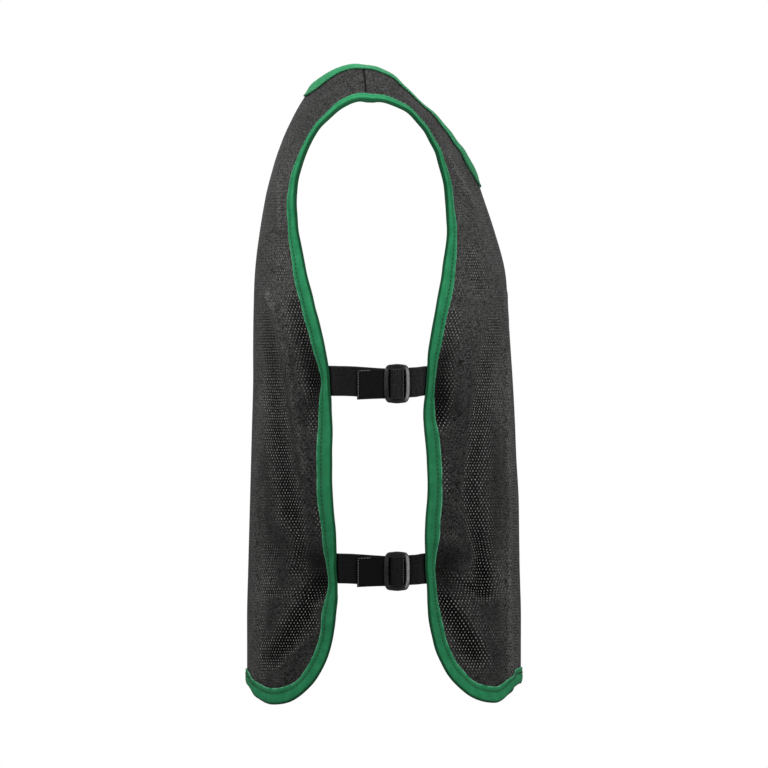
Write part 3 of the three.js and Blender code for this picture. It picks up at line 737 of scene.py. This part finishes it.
def plasticFinish():
    look = plasticLook
    finish = Finish("blackPlastic", Specular_IOR_Level=0.75)
    place = finish.place()
    wear = finish.noise(place, look["wearSize"], 3.0)
    grain = finish.noise(place, look["grainSize"], 2.0)
    finish.feed("Base Color", finish.mix(finish.step(wear, 0.4, 0.8), look["tone"], look["worn"]))
    finish.feed("Roughness", 0.22 + 0.14 * wear)
    finish.feed("Normal", finish.bump(grain, look["grainDepth"], 0.35))
    return finish.material


finishes = {
    "mesh": meshFinish(),
    "tape": tapeFinish(),
    "tapeThread": threadFinish("greenThread", "tape"),
    "webbing": webbingFinish(),
    "greyThread": threadFinish("greyThread", "grey"),
    "plastic": plasticFinish(),
}
print("finishes ready", len(finishes))


# Makes a piece's object from its bmesh, smooth shaded
def pieceFrom(bm, name, material, replaced=()):
    mesh = bpy.data.meshes.new(name)
    bm.to_mesh(mesh)
    bm.free()
    mesh.materials.append(material)
    for polygon in mesh.polygons:
        polygon.use_smooth = True
    piece = bpy.data.objects.new(name, mesh)
    bpy.context.scene.collection.objects.link(piece)
    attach(piece, "root")
    if replaced:
        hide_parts(*replaced)
    return piece


# Moves a flat grid's vertices to their places and keeps cloth lengths as its UV map
def wrapGrid(bm, places, lengths, attributes=None):
    for vertex, place in zip(bm.verts, places):
        vertex.co = place
    layer = bm.loops.layers.uv.new("cloth")
    bm.verts.index_update()
    for face in bm.faces:
        for loop in face.loops:
            loop[layer].uv = lengths[loop.vert.index]
    for name, values in (attributes or {}).items():
        floats = bm.verts.layers.float.new(name)
        for vertex, value in zip(bm.verts, values):
            vertex[floats] = value


def flatGrid(columns, rows):
    bm = bmesh.new()
    bmesh.ops.create_grid(bm, x_segments=columns, y_segments=rows, size=0.5)
    bm.verts.ensure_lookup_table()
    return bm, np.array([vertex.co[:2] for vertex in bm.verts]) + 0.5


# Turns all faces to the side that a direction at each face's middle points to
def faceAlong(bm, outward):
    bmesh.ops.recalc_face_normals(bm, faces=bm.faces)
    bm.normal_update()
    agree = sum(face.normal.dot(outward(face.calc_center_median())) for face in bm.faces)
    if agree < 0:
        bmesh.ops.reverse_faces(bm, faces=bm.faces)


def addModifier(piece, kind, **settings):
    made = piece.modifiers.new(kind.title(), kind)
    for key, value in settings.items():
        setattr(made, key, value)


# Lengths on the cloth in millimetres, across it from the middle and up from the shoulder seam
grainLines = {"acrossAtRow": 6.0, "upAtShare": 0.8, "stepsAcross": 200, "stepsInRow": 40}
grainShares = np.linspace(0, 1, grainLines["stepsAcross"])
grainRows = np.linspace(0, lastRow, grainLines["stepsInRow"] * lastRow + 1)
acrossLengths = lengthsOf(smoothPoint(grainShares, np.full_like(grainShares, grainLines["acrossAtRow"])))
upLengths = lengthsOf(smoothPoint(np.full_like(grainRows, grainLines["upAtShare"]), grainRows))
upLengths -= upLengths[grainLines["stepsInRow"] * shoulderRow]


# The two panels: a flat half is cut from a grid, mirrored, and hung
panelCut = {
    "columns": 66,
    "rowsBelowNeck": 176,
    "rowsAtNeck": 64,
    "hemSteps": 300,
    "hemPull": 6.0,  # how soon the rows leave the hem's line
    "cornerSplit": 0.5,  # where the hem's row of the grid turns into its side
    "thickness": 0.9,
    "seamDip": 0.9,
    "seamWidth": 1.6,
    "foldShadeDepth": 3.2,  # the fold that counts as a whole valley or ridge
    "foldShades": (-1, 1.4),
    "insideY": -20,
}


def cutPanel(panel, bm, grid):
    cut = panelCut
    hem, corner = hemPlaces(panel), cornerPlaces(panel)
    split = int(len(fine) * cut["cornerSplit"])
    below = joined(hem, (corner[0][:split], corner[1][:split]))
    bottomShare, bottomRow, _ = spread(*below, cut["hemSteps"])
    neckRow = clothCut["neckRow"][panel]
    side = joined((corner[0][split - 1:], corner[1][split - 1:]), sidePlaces(panel, neckRow))
    rows = cut["rowsBelowNeck"]
    sideShare, sideRow, _ = spread(*side, rows)
    armRows = np.linspace(neckRow, shoulderRow, lineSteps)
    armShare, armRow, _ = spread(np.ones(lineSteps), armRows, cut["rowsAtNeck"])
    neckShare, neckRows, _ = spread(*neckPlaces(panel), cut["rowsAtNeck"])
    outerShare, outerRow = joined((sideShare, sideRow), (armShare, armRow))
    level = (sideRow - sideRow[0]) / (sideRow[-1] - sideRow[0])
    middleRow = bottomRow[0] + level * (neckRow - bottomRow[0])
    innerShare, innerRow = joined((np.zeros(rows + 1), middleRow), (neckShare, neckRows))

    u, v = grid[:, 0], grid[:, 1]
    at = np.linspace(0, 1, len(outerShare))
    share = np.interp(v, at, innerShare) * (1 - u) + np.interp(v, at, outerShare) * u
    row = np.interp(v, at, innerRow) * (1 - u) + np.interp(v, at, outerRow) * u
    onBottom = np.linspace(0, 1, len(bottomShare))
    fade = (1 - v) ** cut["hemPull"]
    share += fade * (np.interp(u, onBottom, bottomShare) - u * bottomShare[-1])
    row += fade * (np.interp(u, onBottom, bottomRow) - bottomRow[0] - u * (bottomRow[-1] - bottomRow[0]))
    share[u < tiny] = np.interp(v[u < tiny], at, innerShare)
    for vertex, x, y in zip(bm.verts, share, row):
        vertex.co = (x, y, 0)


def makePanel(panel):
    cut = panelCut
    bm, grid = flatGrid(cut["columns"], cut["rowsBelowNeck"] + cut["rowsAtNeck"])
    cutPanel(panel, bm, grid)
    everything = bm.verts[:] + bm.edges[:] + bm.faces[:]
    bmesh.ops.mirror(bm, geom=everything, matrix=Matrix.Identity(4), merge_dist=tiny, axis="X")
    flat = np.array([vertex.co[:2] for vertex in bm.verts])
    share, row, side = np.abs(flat[:, 0]), flat[:, 1], np.where(flat[:, 0] < 0, -1.0, 1.0)
    across, up = np.interp(share, grainShares, acrossLengths), np.interp(row, grainRows, upLengths)
    aslant = up - meshLook["seamStart"] / mm + meshLook["seamFall"] * across
    seam = -cut["seamDip"] * np.exp(-((aslant / cut["seamWidth"]) ** 2))
    places = sheetPoint(share, row, side, seam)
    lengths = np.stack([side * across, up], -1) * mm
    shade = np.clip(-sideFolds(share, row, side)[1] / cut["foldShadeDepth"], *cut["foldShades"])
    wrapGrid(bm, places, lengths, {"foldShade": shade})
    middle = Vector((0, cut["insideY"] * mm, 0))
    faceAlong(bm, lambda place: Vector((place.x, place.y, 0)) - middle)
    piece = pieceFrom(bm, f"{panel}Mesh", finishes["mesh"], [f"{panel}_panel"])
    addModifier(piece, "SOLIDIFY", thickness=cut["thickness"] * mm, offset=0)
    return piece


panels = {panel: makePanel(panel) for panel in ("front", "back")}
print("panels hung", [len(piece.data.polygons) for piece in panels.values()])


# Binding tape folded over an edge: inset is the distance into the cloth, off the distance from
# its middle plane. The dent is where the stitches run.
tapeCut = {
    "section": [
        dict(inset=14.7, off=1.45),
        dict(inset=14.3, off=1.75),
        dict(inset=13.7, off=1.85),
        dict(inset=13.1, off=1.85),
        dict(inset=12.4, off=1.85),
        dict(inset=11.2, off=1.85),
        dict(inset=10.2, off=1.85),
        dict(inset=9.4, off=1.85),
        dict(inset=8.6, off=1.9),
        dict(inset=7.6, off=2.0),
        dict(inset=6.2, off=2.1),
        dict(inset=4.6, off=2.15),
        dict(inset=2.8, off=1.95),
        dict(inset=1.4, off=1.6),
        dict(inset=0.2, off=1.15),
        dict(inset=-0.7, off=0.6),
        dict(inset=-1.0, off=0.0),
    ],
    "stitchDip": 0.25,
    "stitchHalf": 0.75,
    # how far the fold stands out past the cloth
    "fuller": dict(front=0.5, back=1.5, hem=1.1, topFront=1.2, topBack=3.4, reach=5.0),
    "overShoulder": (-10, 22),
    "hemHeights": (-600, -520),
    "topHeights": (-130, -70),
    # how wide the painted shade on the fold's edge is, and what share of it is darkest
    "turned": dict(below=1.5, more=2.6, heights=(-190, -60), darkest=0.4),
    "narrower": dict(front=0.64, back=0.68),  # the tape's reach over the top of the armhole
    "thickness": 0.8,
    "stationLength": 2.6,
    "pucker": 0.16,
    "puckerLengths": [6.4, 10.3, 23.0],
    "puckerReach": 4,
    "puckerShift": 137,  # so that the two sides differ
    "rim": (13.0, 14.0),  # the tape's outermost strip: painted highlight on the edge's tape, painted shadow on the neck's
    "sunkHalf": 1.9,
    "sunkShare": 0.45,
    "joinReach": 1.7,  # the tape's ends, turned under at the shoulder
    "joinMiddle": -4.5,
    "joinHalf": 6.5,
    "joinAbove": -60,
    "joinOff": 0.7,
    "between": [0.001, 8.0, 0.0],  # a place between its faces: share of the line, inset and off
}
threadCut = {"pitch": 4.4, "radius": 0.78, "rise": 1.0, "sides": 5, "stepsInPitch": 8, "off": 0.78}


def fullSection(stitch):
    half = np.array([(row["inset"], row["off"]) for row in tapeCut["section"]])
    half[:, 1] -= tapeCut["stitchDip"] * dentAt(half[:, 0], stitch)
    return np.concatenate([half, half[-2::-1] * [1, -1]])


def dentAt(inset, stitch):
    return np.exp(-(((inset - stitch) / tapeCut["stitchHalf"]) ** 2))


# How far the fold of the edge's tape stands out past the cloth, by height and panel
def fullerBy(edge, row):
    full = tapeCut["fuller"]
    side = np.where(row < shoulderRow, full["front"], full["back"])
    side = side + (full["hem"] - side) * (1 - smooth01(edge[:, 2], *tapeCut["hemHeights"]))
    behind = smooth01(edge[:, 1], *tapeCut["overShoulder"])
    top = full["topFront"] + (full["topBack"] - full["topFront"]) * behind
    return side + (top - side) * smooth01(edge[:, 2], *tapeCut["topHeights"])


class TapeLine:
    def __init__(self, share, row, facing, stationLength):
        self.count = int(round(lengthsOf(smoothPoint(share, row))[-1] / stationLength))
        self.share, self.row, self.length = spread(share, row, self.count)
        self.stepShare, self.stepRow, self.inward = inwardSteps(self.share, self.row, facing)

    # Places at signed shares of the line, a distance into the cloth and off it
    def place(self, signed, inset, off):
        at = np.linspace(0, 1, self.count + 1)
        read = lambda values: np.interp(np.abs(signed), at, values)
        side = np.where(signed < 0, -1.0, 1.0)
        within = np.maximum(inset, 0)
        share = read(self.share) + within * read(self.stepShare)
        row = read(self.row) + within * read(self.stepRow)
        share = np.where((np.abs(signed) < tiny) | (share < tiny), 0, share)
        point = sheetPoint(share, row, side, off)
        beyond = np.minimum(inset, 0)[:, None] * mm
        direction = np.stack([read(self.inward[:, k]) for k in range(3)], -1)
        direction[:, 0] *= side
        return point + beyond * direction


def puckerAt(length):
    a, b, c = tapeCut["puckerLengths"]
    turn = 2 * math.pi * length
    return np.sin(turn / a + 2 * np.sin(turn / c)) * (0.6 + 0.4 * np.sin(turn / b + 1))


# The edge's tape is narrower over the armhole's top, stands out past the cloth, and reaches
# further where its ends are turned under at the shoulder
def edgeInset(line, signed, inset, off, edge, turned):
    cut = tapeCut
    row = np.interp(np.abs(signed), np.linspace(0, 1, line.count + 1), line.row)
    reaching = np.where(row < shoulderRow, cut["narrower"]["front"], cut["narrower"]["back"])
    narrowing = (reaching - 1) * smooth01(edge[:, 2], *cut["topHeights"])
    inset = inset * (1 + narrowing * (inset > 0))
    inset = inset - fullerBy(edge, row) * (1 - smooth01(inset, -1, cut["fuller"]["reach"]))
    fromJoin = (edge[:, 1] - cut["joinMiddle"]) / cut["joinHalf"]
    atJoin = np.exp(-(fromJoin**4)) * (edge[:, 2] > cut["joinAbove"]) * (off < cut["joinOff"])
    return np.where(turned > 0.5, inset - cut["joinReach"] * atJoin, inset)


def makeTape(name, line, reach, stitch, onEdge, replaced):
    cut = tapeCut
    section = fullSection(stitch) * [reach, 1]
    bm, grid = flatGrid(2 * line.count, len(section) - 1)
    signed = 2 * grid[:, 0] - 1
    index = np.rint(grid[:, 1] * (len(section) - 1)).astype(int)
    inset, off = section[index, 0], section[index, 1]
    dent = dentAt(inset / reach, stitch)
    along = np.abs(signed) * line.length + np.where(signed < 0, 0, cut["puckerShift"])
    puff = np.clip(inset / cut["puckerReach"], 0, 1) * (1 - dent)
    off = off + np.sign(off) * cut["pucker"] * puff * puckerAt(along)
    rim = smooth01(inset / reach, *cut["rim"]) * (off > 0)
    edge = line.place(signed, np.zeros_like(inset), np.zeros_like(off)) / mm
    # where the fold's edge gets painted shade
    turn = cut["turned"]
    turnedTo = turn["below"] + turn["more"] * smooth01(edge[:, 2], *turn["heights"]) * onEdge
    turned = 1 - smooth01(inset, turn["darkest"] * turnedTo, turnedTo)
    # painted shade along the sunk stitch line of the edge's tape
    if onEdge:
        dent = cut["sunkShare"] * np.exp(-(((inset - stitch) / cut["sunkHalf"]) ** 2))
        inset = edgeInset(line, signed, inset, off, edge, turned)
    # the neck's tape gets painted shadow on its outermost strip instead of the painted highlight
    else:
        dent = np.maximum(dent, rim)
        rim = np.zeros_like(rim)
    lengths = np.stack([signed * line.length, lengthsOf(section)[index]], -1) * mm
    attributes = {"paintedStitchShade": dent, "paintedFoldShade": turned, "rim": rim}
    wrapGrid(bm, line.place(signed, inset, off), lengths, attributes)
    bmesh.ops.remove_doubles(bm, verts=bm.verts, dist=10 * tiny)
    bmesh.ops.recalc_face_normals(bm, faces=bm.faces)
    between = Vector(line.place(*np.array(cut["between"])[:, None])[0])
    nearest = min(bm.faces, key=lambda face: (face.calc_center_median() - between).length)
    if nearest.normal.dot(nearest.calc_center_median() - between) < 0:
        bmesh.ops.reverse_faces(bm, faces=bm.faces)
    piece = pieceFrom(bm, name, finishes["tape"], replaced)
    addModifier(piece, "SOLIDIFY", thickness=cut["thickness"] * mm, offset=-1)
    return piece


# Thread that runs over and under along a line of places, as a thin tube
def makeThread(name, centre, outward, length, cut, material):
    steps = int(round(length / cut["pitch"])) * cut["stepsInPitch"]
    bm, grid = flatGrid(steps, cut["sides"])
    t, turn = grid[:, 0], grid[:, 1] * 2 * math.pi
    stations = np.linspace(0, 1, steps + 1)
    points, raised = centre(stations), outward(stations)
    tangent = unit(np.gradient(points, axis=0))
    sideways = unit(np.cross(tangent, raised))
    raised = np.cross(sideways, tangent)
    wave = np.cos(2 * math.pi * stations * round(length / cut["pitch"]))
    points = points + raised * (wave * cut["rise"] * mm)[:, None]
    k = np.rint(t * steps).astype(int)
    radius = cut["radius"] * mm
    around = np.cos(turn)[:, None] * sideways[k] + np.sin(turn)[:, None] * raised[k]
    places = points[k] + radius * around
    wrapGrid(bm, places, np.stack([t * length * mm, turn * radius], -1))
    bmesh.ops.remove_doubles(bm, verts=bm.verts, dist=tiny)
    ends = [edge for edge in bm.edges if edge.is_boundary]
    bmesh.ops.holes_fill(bm, edges=ends, sides=cut["sides"] + 1)
    bmesh.ops.recalc_face_normals(bm, faces=bm.faces)
    return pieceFrom(bm, name, material)


def tapeThread(name, line, inset, face):
    off = face * threadCut["off"]

    def lineAt(stations, away):
        signed = 2 * stations - 1
        return line.place(signed, np.full_like(signed, inset), np.full_like(signed, away))

    centre = lambda stations: lineAt(stations, off)
    outward = lambda stations: unit(lineAt(stations, off + face) - centre(stations))
    length = 2 * line.length
    return makeThread(name, centre, outward, length, threadCut, finishes["tapeThread"])


edgeNodes = ["front_edge_binding", "back_edge_binding"]
bindings = {
    "edge": dict(line=edgeLine(), facing=1, reach=1.0, stitch=9.4, nodes=edgeNodes),
    "neck": dict(line=neckLine(), facing=-1, reach=1.2, stitch=13.4, nodes=["neck_binding"]),
}
threadFaces = {"Outside": 1, "Inside": -1}
tapes, threads = {}, {}
for name, binding in bindings.items():
    line = TapeLine(*binding["line"], binding["facing"], tapeCut["stationLength"])
    reach, stitch = binding["reach"], binding["stitch"]
    tapes[name] = makeTape(f"{name}Tape", line, reach, stitch, name == "edge", binding["nodes"])
    threads[name] = []
    for word, face in threadFaces.items():
        threads[name].append(tapeThread(f"{name}Thread{word}", line, reach * stitch, face))
print("edges bound", [len(piece.data.polygons) for piece in tapes.values()])


# Side straps: webbing sewn inside the panels' edges, joined by three-bar sliders. Along is the
# distance from the slider's middle bar, positive to the front, and out from its middle plane.
strapCut = {
    "levels": {"upper": -317, "lower": -504.5},
    "width": 30,
    "thickness": 1.2,
    "sag": 2.7,
    "standOff": 5,
    "beneath": 2.7,
    "sewn": 14.7,
    "handle": 6,
    "tail": [(-22, -0.4), (-40, -1.2)],  # along, and out from where it leaves the slider
    "tailTilt": 1.0,
    "tailShows": -11,
    "frontRise": 0.6,  # how much less it sags in front of the slider
    "riseReach": 20,
    "paintedWebLight": {"front": 1.0, "tail": 0.3, "back": 0.6},  # how light each part is painted; painted shade darkens the tail and the back
    "columns": 12,
    "stepLength": 1.2,
    "edge": 0.3,
}
sliderCut = {
    "depth": -32,
    "height": 39.5,
    "width": 26,
    "thickness": 3,
    "roundness": 4.2,  # power of the rounded outline
    "edge": 0.45,
    "edgeSteps": 3,
    "sharpAngle": 45,
    "bar": 4.1,
    "middleBar": 3.2,
    "rail": 5.0,
    "slope": 1.75,  # how much thinner the rim is
    "barSteps": 3,
    "sideSteps": 10,
}
frontWay = [(15, -2.4), (8.8, -2.4), (6.2, -1), (5.2, 1.8), (3.4, 3.95)]
backWay = [(-54, -3.9), (-6.6, -3.9), (-2.4, -2.6), (2, -2.45), (3.2, -1), (3.2, 1), (2, 2.45)]
backWay += [(-2, 2.45), (-3.2, 1), (-3.3, 0)]


def sliderPlane(level):
    row = rowOfHeight("front", strapCut["levels"][level])
    return sectionAt(np.array([float(row)]))[0, 2] + strapCut["standOff"]


def strapRows(panel, level, side):
    cut = strapCut
    across = np.linspace(-0.5, 0.5, cut["columns"] + 1) * cut["width"]
    height = cut["levels"][level]
    share, row = np.ones_like(across), rowOfHeight(panel, height + across)
    facing = panelFacing[panel]
    sides = np.full_like(across, side)
    acrossCloth = slopesOf(smoothPoint, share, row)[0]
    inward = -unit(acrossCloth)
    stepsIn = -1 / np.linalg.norm(acrossCloth, axis=-1)
    depths = (cut["sewn"], cut["sewn"] / 2, 0)
    rows = [sheetPoint(share + d * stepsIn, row, sides, -cut["beneath"]) / mm for d in depths]
    if panel == "front":
        back = [(-along, out) for along, out in frontWay[::-1]]
        way = frontWay + back + [(along, back[-1][1] + out) for along, out in cut["tail"]]
        tilt = lambda along: cut["tailTilt"] * float(smooth01(-along, frontWay[0][0], -way[-1][0]))
        rise = lambda along: cut["frontRise"] * float(smooth01(along, 0, cut["riseReach"]))
        drop = lambda along: cut["sag"] * (1 - rise(along)) + tilt(along)
    else:
        way = backWay
        drop = lambda along: cut["sag"] * (1 - float(smooth01(-along, 0, -backWay[0][0])))
    plane = sliderPlane(level)

    def onWay(along, out):
        x = np.full_like(across, side * (plane + out))
        y = np.full_like(across, sliderCut["depth"] - along)
        return np.stack([x, y, height - drop(along) + across], -1)

    outward = -inward * [side, 1, 1]
    start, end = rows[-1], onWay(*way[0])
    towards = np.array([0, facing, 0])
    leaving, arriving = start + cut["handle"] * outward, end - cut["handle"] * towards
    rows += [bezier(start, leaving, arriving, end, f) for f in (0.25, 0.5, 0.75)]
    return np.array(rows + [onWay(*step) for step in way])


# Smooth way through rows of points, spread evenly by length
def throughRows(rows, stepLength):
    knots = lengthsOf(rows[:, rows.shape[1] // 2])
    gaps = np.diff(knots)
    count = int(round(knots[-1] / stepLength))
    slopes = np.gradient(rows, knots, axis=0)
    at = np.linspace(0, knots[-1], count + 1)
    k = np.clip(np.searchsorted(knots, at, side="right") - 1, 0, len(gaps) - 1)
    h = gaps[k][:, None, None]
    f = ((at - knots[k]) / gaps[k])[:, None, None]
    return hermite(rows[k], rows[k + 1], slopes[k] * h, slopes[k + 1] * h, f), knots[-1]


def makeStrap(panel, level, sideName, side):
    cut = strapCut
    points, length = throughRows(strapRows(panel, level, side), cut["stepLength"])
    bm, grid = flatGrid(len(points) - 1, cut["columns"])
    i = np.rint(grid[:, 0] * (len(points) - 1)).astype(int)
    j = np.rint(grid[:, 1] * cut["columns"]).astype(int)
    lengths = np.stack([grid[:, 0] * length, (grid[:, 1] - 0.5) * cut["width"]], -1) * mm
    along = sliderCut["depth"] - points[i, j, 1]
    onTail = (along < cut["tailShows"]) & (panel == "front")
    # painted shade: the tail and the back straps darker than the front
    paintedWebLight = np.where(onTail, cut["paintedWebLight"]["tail"], cut["paintedWebLight"][panel])
    wrapGrid(bm, points[i, j] * mm, lengths, {"paintedWebLight": paintedWebLight})
    faceAlong(bm, lambda place: Vector((side, 0, 0)))
    name = f"{level}{sideName.title()}{panel.title()}Webbing"
    piece = pieceFrom(bm, name, finishes["webbing"], [f"{level}_{sideName}_{panel}_strap"])
    addModifier(piece, "SOLIDIFY", thickness=cut["thickness"] * mm, offset=0)
    addModifier(piece, "BEVEL", width=cut["edge"] * mm, segments=2, limit_method="ANGLE")
    return points


# Seams across the webbing: at the tail's end, along its top, and over the middle bar
webThread = {
    "pitch": 2.5,
    "radius": 0.42,
    "rise": 0.6,
    "sides": 5,
    "stepsInPitch": 6,
    "fromEnd": 1.4,
    "fromEdge": 1.4,
    "topLength": 12,
    "overBar": 5.6,
}


def makeWebThread(name, places, outward):
    length = lengthsOf(places)[-1]
    at = np.linspace(0, 1, len(places))
    centre = lambda stations: np.stack([np.interp(stations, at, places[:, k]) for k in range(3)], -1) * mm
    raised = lambda stations: np.tile(outward, (len(stations), 1))
    makeThread(name, centre, raised, length, webThread, finishes["greyThread"])


def makeWebThreads(level, sideName, side, points):
    cut = webThread
    off = np.array([side * strapCut["thickness"] / 2, 0, 0])
    step = strapCut["stepLength"]
    near = 1 - 2 * cut["fromEdge"] / strapCut["width"]
    start = f"{level}{sideName.title()}"
    squeeze = lambda row: row.mean(0) + (row - row.mean(0)) * near
    back = -1 - int(round(cut["fromEnd"] / step))
    makeWebThread(f"{start}TailThread", squeeze(points[back]) + off, [side, 0.0, 0.0])
    top = [squeeze(row)[-1] + off for row in points[back - int(cut["topLength"] / step):back]]
    makeWebThread(f"{start}TailTopThread", np.array(top), [side, 0.0, 0.0])
    along = sliderCut["depth"] - points[:, 0, 1]
    rising = int(np.argmin(np.abs(along - cut["overBar"])))
    onward = unit(points[rising + 1].mean(0) - points[rising - 1].mean(0))
    out = np.cross(onward, [0, 0, 1.0])
    out = out * np.sign(out[0] * side)
    makeWebThread(f"{start}BarThread", squeeze(points[rising]) + out * strapCut["thickness"] / 2, out)


def makeSlider(level, sideName, side):
    cut = sliderCut
    w, h = cut["width"] / 2, cut["height"] / 2
    near, far, tall = cut["middleBar"] / 2, w - cut["bar"], h - cut["rail"]
    outer = lambda inside, outside: list(np.linspace(inside, outside, cut["barSteps"] + 1))
    bothEnds = lambda middle, end: [-place for place in end[::-1]] + middle + end
    columns = bothEnds([-near, near], outer(far, w))
    rows = bothEnds(list(np.linspace(-tall, tall, cut["sideSteps"] + 1)[1:-1]), outer(tall, h))
    bm, grid = flatGrid(len(columns) - 1, len(rows) - 1)
    y = np.array(columns)[np.rint(grid[:, 0] * (len(columns) - 1)).astype(int)]
    z = np.array(rows)[np.rint(grid[:, 1] * (len(rows) - 1)).astype(int)]
    square = np.maximum(np.abs(y) / w, np.abs(z) / h)
    power = cut["roundness"]
    rounded = np.maximum((np.abs(y / w) ** power + np.abs(z / h) ** power) ** (1 / power), tiny)
    slack = 0.01
    inSlot = (np.abs(y) > near - slack) & (np.abs(y) < far + slack) & (np.abs(z) < tall + slack)
    slots = [face for face in bm.faces if all(inSlot[corner.index] for corner in face.verts)]
    inwards = 1 - (1 - square / rounded) * square**2
    thinner = cut["slope"] * np.clip((np.abs(y) - far) / (w - far), 0, 1)
    for vertex, a, b, c in zip(bm.verts, y * inwards, z * inwards, thinner):
        vertex.co = (cut["thickness"] / 2 - c, a, b)
    bmesh.ops.delete(bm, geom=slots, context="FACES")
    plate = bmesh.ops.extrude_face_region(bm, geom=bm.faces[:])["geom"]
    for part in plate:
        if isinstance(part, bmesh.types.BMVert):
            part.co.x = -cut["thickness"] / 2
    bmesh.ops.recalc_face_normals(bm, faces=bm.faces)
    angle = math.radians(cut["sharpAngle"])
    sharp = [edge for edge in bm.edges if edge.is_manifold and edge.calc_face_angle() > angle]
    bmesh.ops.bevel(
        bm,
        geom=sharp,
        offset=cut["edge"],
        offset_type="OFFSET",
        affect="EDGES",
        segments=cut["edgeSteps"],
        profile=0.5,
        material=-1,
    )
    if side < 0:
        bmesh.ops.scale(bm, vec=(-1, 1, 1), verts=bm.verts)
    height = strapCut["levels"][level] - strapCut["sag"]
    middle = Vector((side * sliderPlane(level), cut["depth"], height))
    bmesh.ops.translate(bm, vec=middle, verts=bm.verts)
    bmesh.ops.scale(bm, vec=(mm, mm, mm), verts=bm.verts)
    bmesh.ops.recalc_face_normals(bm, faces=bm.faces)
    name = f"{level}{sideName.title()}Slider"
    pieceFrom(bm, name, finishes["plastic"], [f"{level}_{sideName}_buckle"])


for level in ("upper", "lower"):
    for sideName, side in (("right", -1), ("left", 1)):
        points = makeStrap("front", level, sideName, side)
        makeStrap("back", level, sideName, side)
        makeWebThreads(level, sideName, side, points)
        makeSlider(level, sideName, side)
print("straps joined")

# The cloth was cut 0.43 by 0.66 metres for the front and 0.43 by 0.67 for the back; this loop
# only picks each panel's binding name and does nothing with it
for panel, piece in panels.items():
    binding = "edge" if panel == "front" else "neck"

# Studio: pale floor, white surround, soft lights, and the camera at the side
studio = {
    "floor": -0.85,
    "floorHalf": 6,
    "floorTones": (colour(0.42, 0.42, 0.42), colour(0.46, 0.46, 0.46)),
    "floorCloudSize": 3.0,
    "floorPaleness": 0.86,
    "surround": 0.16,
    "lights": [
        dict(name="behind", place=(-0.75, 0.9, 0.3), wide=0.5, tall=0.5, watts=10.5),
        dict(name="ahead", place=(-1.05, -1.05, 0.4), wide=0.6, tall=0.6, watts=10.5),
        dict(name="strip", place=(-1.15, -1.15, -0.38), wide=0.32, tall=0.75, watts=5),
        dict(name="above", place=(-0.35, 0.1, 1.0), wide=0.7, tall=0.7, watts=11),
        dict(name="far", place=(1.4, -0.1, 0.4), wide=1.2, tall=1.2, watts=15),
    ],
    "aim": (0, -0.02, -0.32),
    "camera": dict(place=(-2.5, -0.019, -0.320), wide=0.768),
}


def makeFloor():
    bm = bmesh.new()
    bmesh.ops.create_grid(bm, x_segments=2, y_segments=2, size=studio["floorHalf"])
    bmesh.ops.translate(bm, vec=(0, 0, studio["floor"]), verts=bm.verts)
    mesh = bpy.data.meshes.new("floor")
    bm.to_mesh(mesh)
    bm.free()
    finish = Finish("paleFloor", Roughness=0.9)
    cloud = finish.noise(finish.place(), studio["floorCloudSize"], 2.0)
    finish.feed("Base Color", finish.mix(cloud, *studio["floorTones"]))
    pale = finish.node("ShaderNodeEmission", None, {"Color": colour(1, 1, 1)})
    seen = finish.node("ShaderNodeLightPath") * studio["floorPaleness"]
    own = Wire(finish.tree, finish.surface.outputs[0])
    both = finish.node("ShaderNodeMixShader", None, {0: seen, 1: own, 2: pale})
    finish.tree.links.new(both.socket, finish.tree.nodes["Material Output"].inputs[0])
    mesh.materials.append(finish.material)
    floor = bpy.data.objects.new("floor", mesh)
    bpy.context.scene.collection.objects.link(floor)


def makeSurround():
    world = bpy.data.worlds.new("whiteSurround")
    bpy.context.scene.world = world
    world.use_nodes = True
    world.node_tree.nodes.clear()
    nodes = Nodes(world.node_tree)

    def background(strength):
        return nodes.node("ShaderNodeBackground", None, {"Color": colour(1, 1, 1), "Strength": strength})

    seen = nodes.node("ShaderNodeLightPath")
    surrounds = {0: seen, 1: background(studio["surround"]), 2: background(1.0)}
    both = nodes.node("ShaderNodeMixShader", None, surrounds)
    out = world.node_tree.nodes.new("ShaderNodeOutputWorld")
    world.node_tree.links.new(both.socket, out.inputs[0])


def makeLights():
    aim = Vector(studio["aim"])
    for light in studio["lights"]:
        data = bpy.data.lights.new(light["name"], "AREA")
        data.shape = "RECTANGLE"
        data.size, data.size_y, data.energy = light["wide"], light["tall"], light["watts"]
        lamp = bpy.data.objects.new(light["name"], data)
        lamp.location = light["place"]
        lamp.rotation_euler = (aim - lamp.location).to_track_quat("-Z", "Y").to_euler()
        bpy.context.scene.collection.objects.link(lamp)


def makeCamera():
    data = bpy.data.cameras.new("camera")
    data.type, data.ortho_scale = "ORTHO", studio["camera"]["wide"]
    camera = bpy.data.objects.new("camera", data)
    camera.location = studio["camera"]["place"]
    camera.rotation_euler = (math.radians(90), 0, math.radians(-90))
    bpy.context.scene.collection.objects.link(camera)
    bpy.context.scene.camera = camera


makeFloor()
makeSurround()
makeLights()
makeCamera()
bpy.context.scene.view_settings.view_transform = "Standard"
print("studio ready")
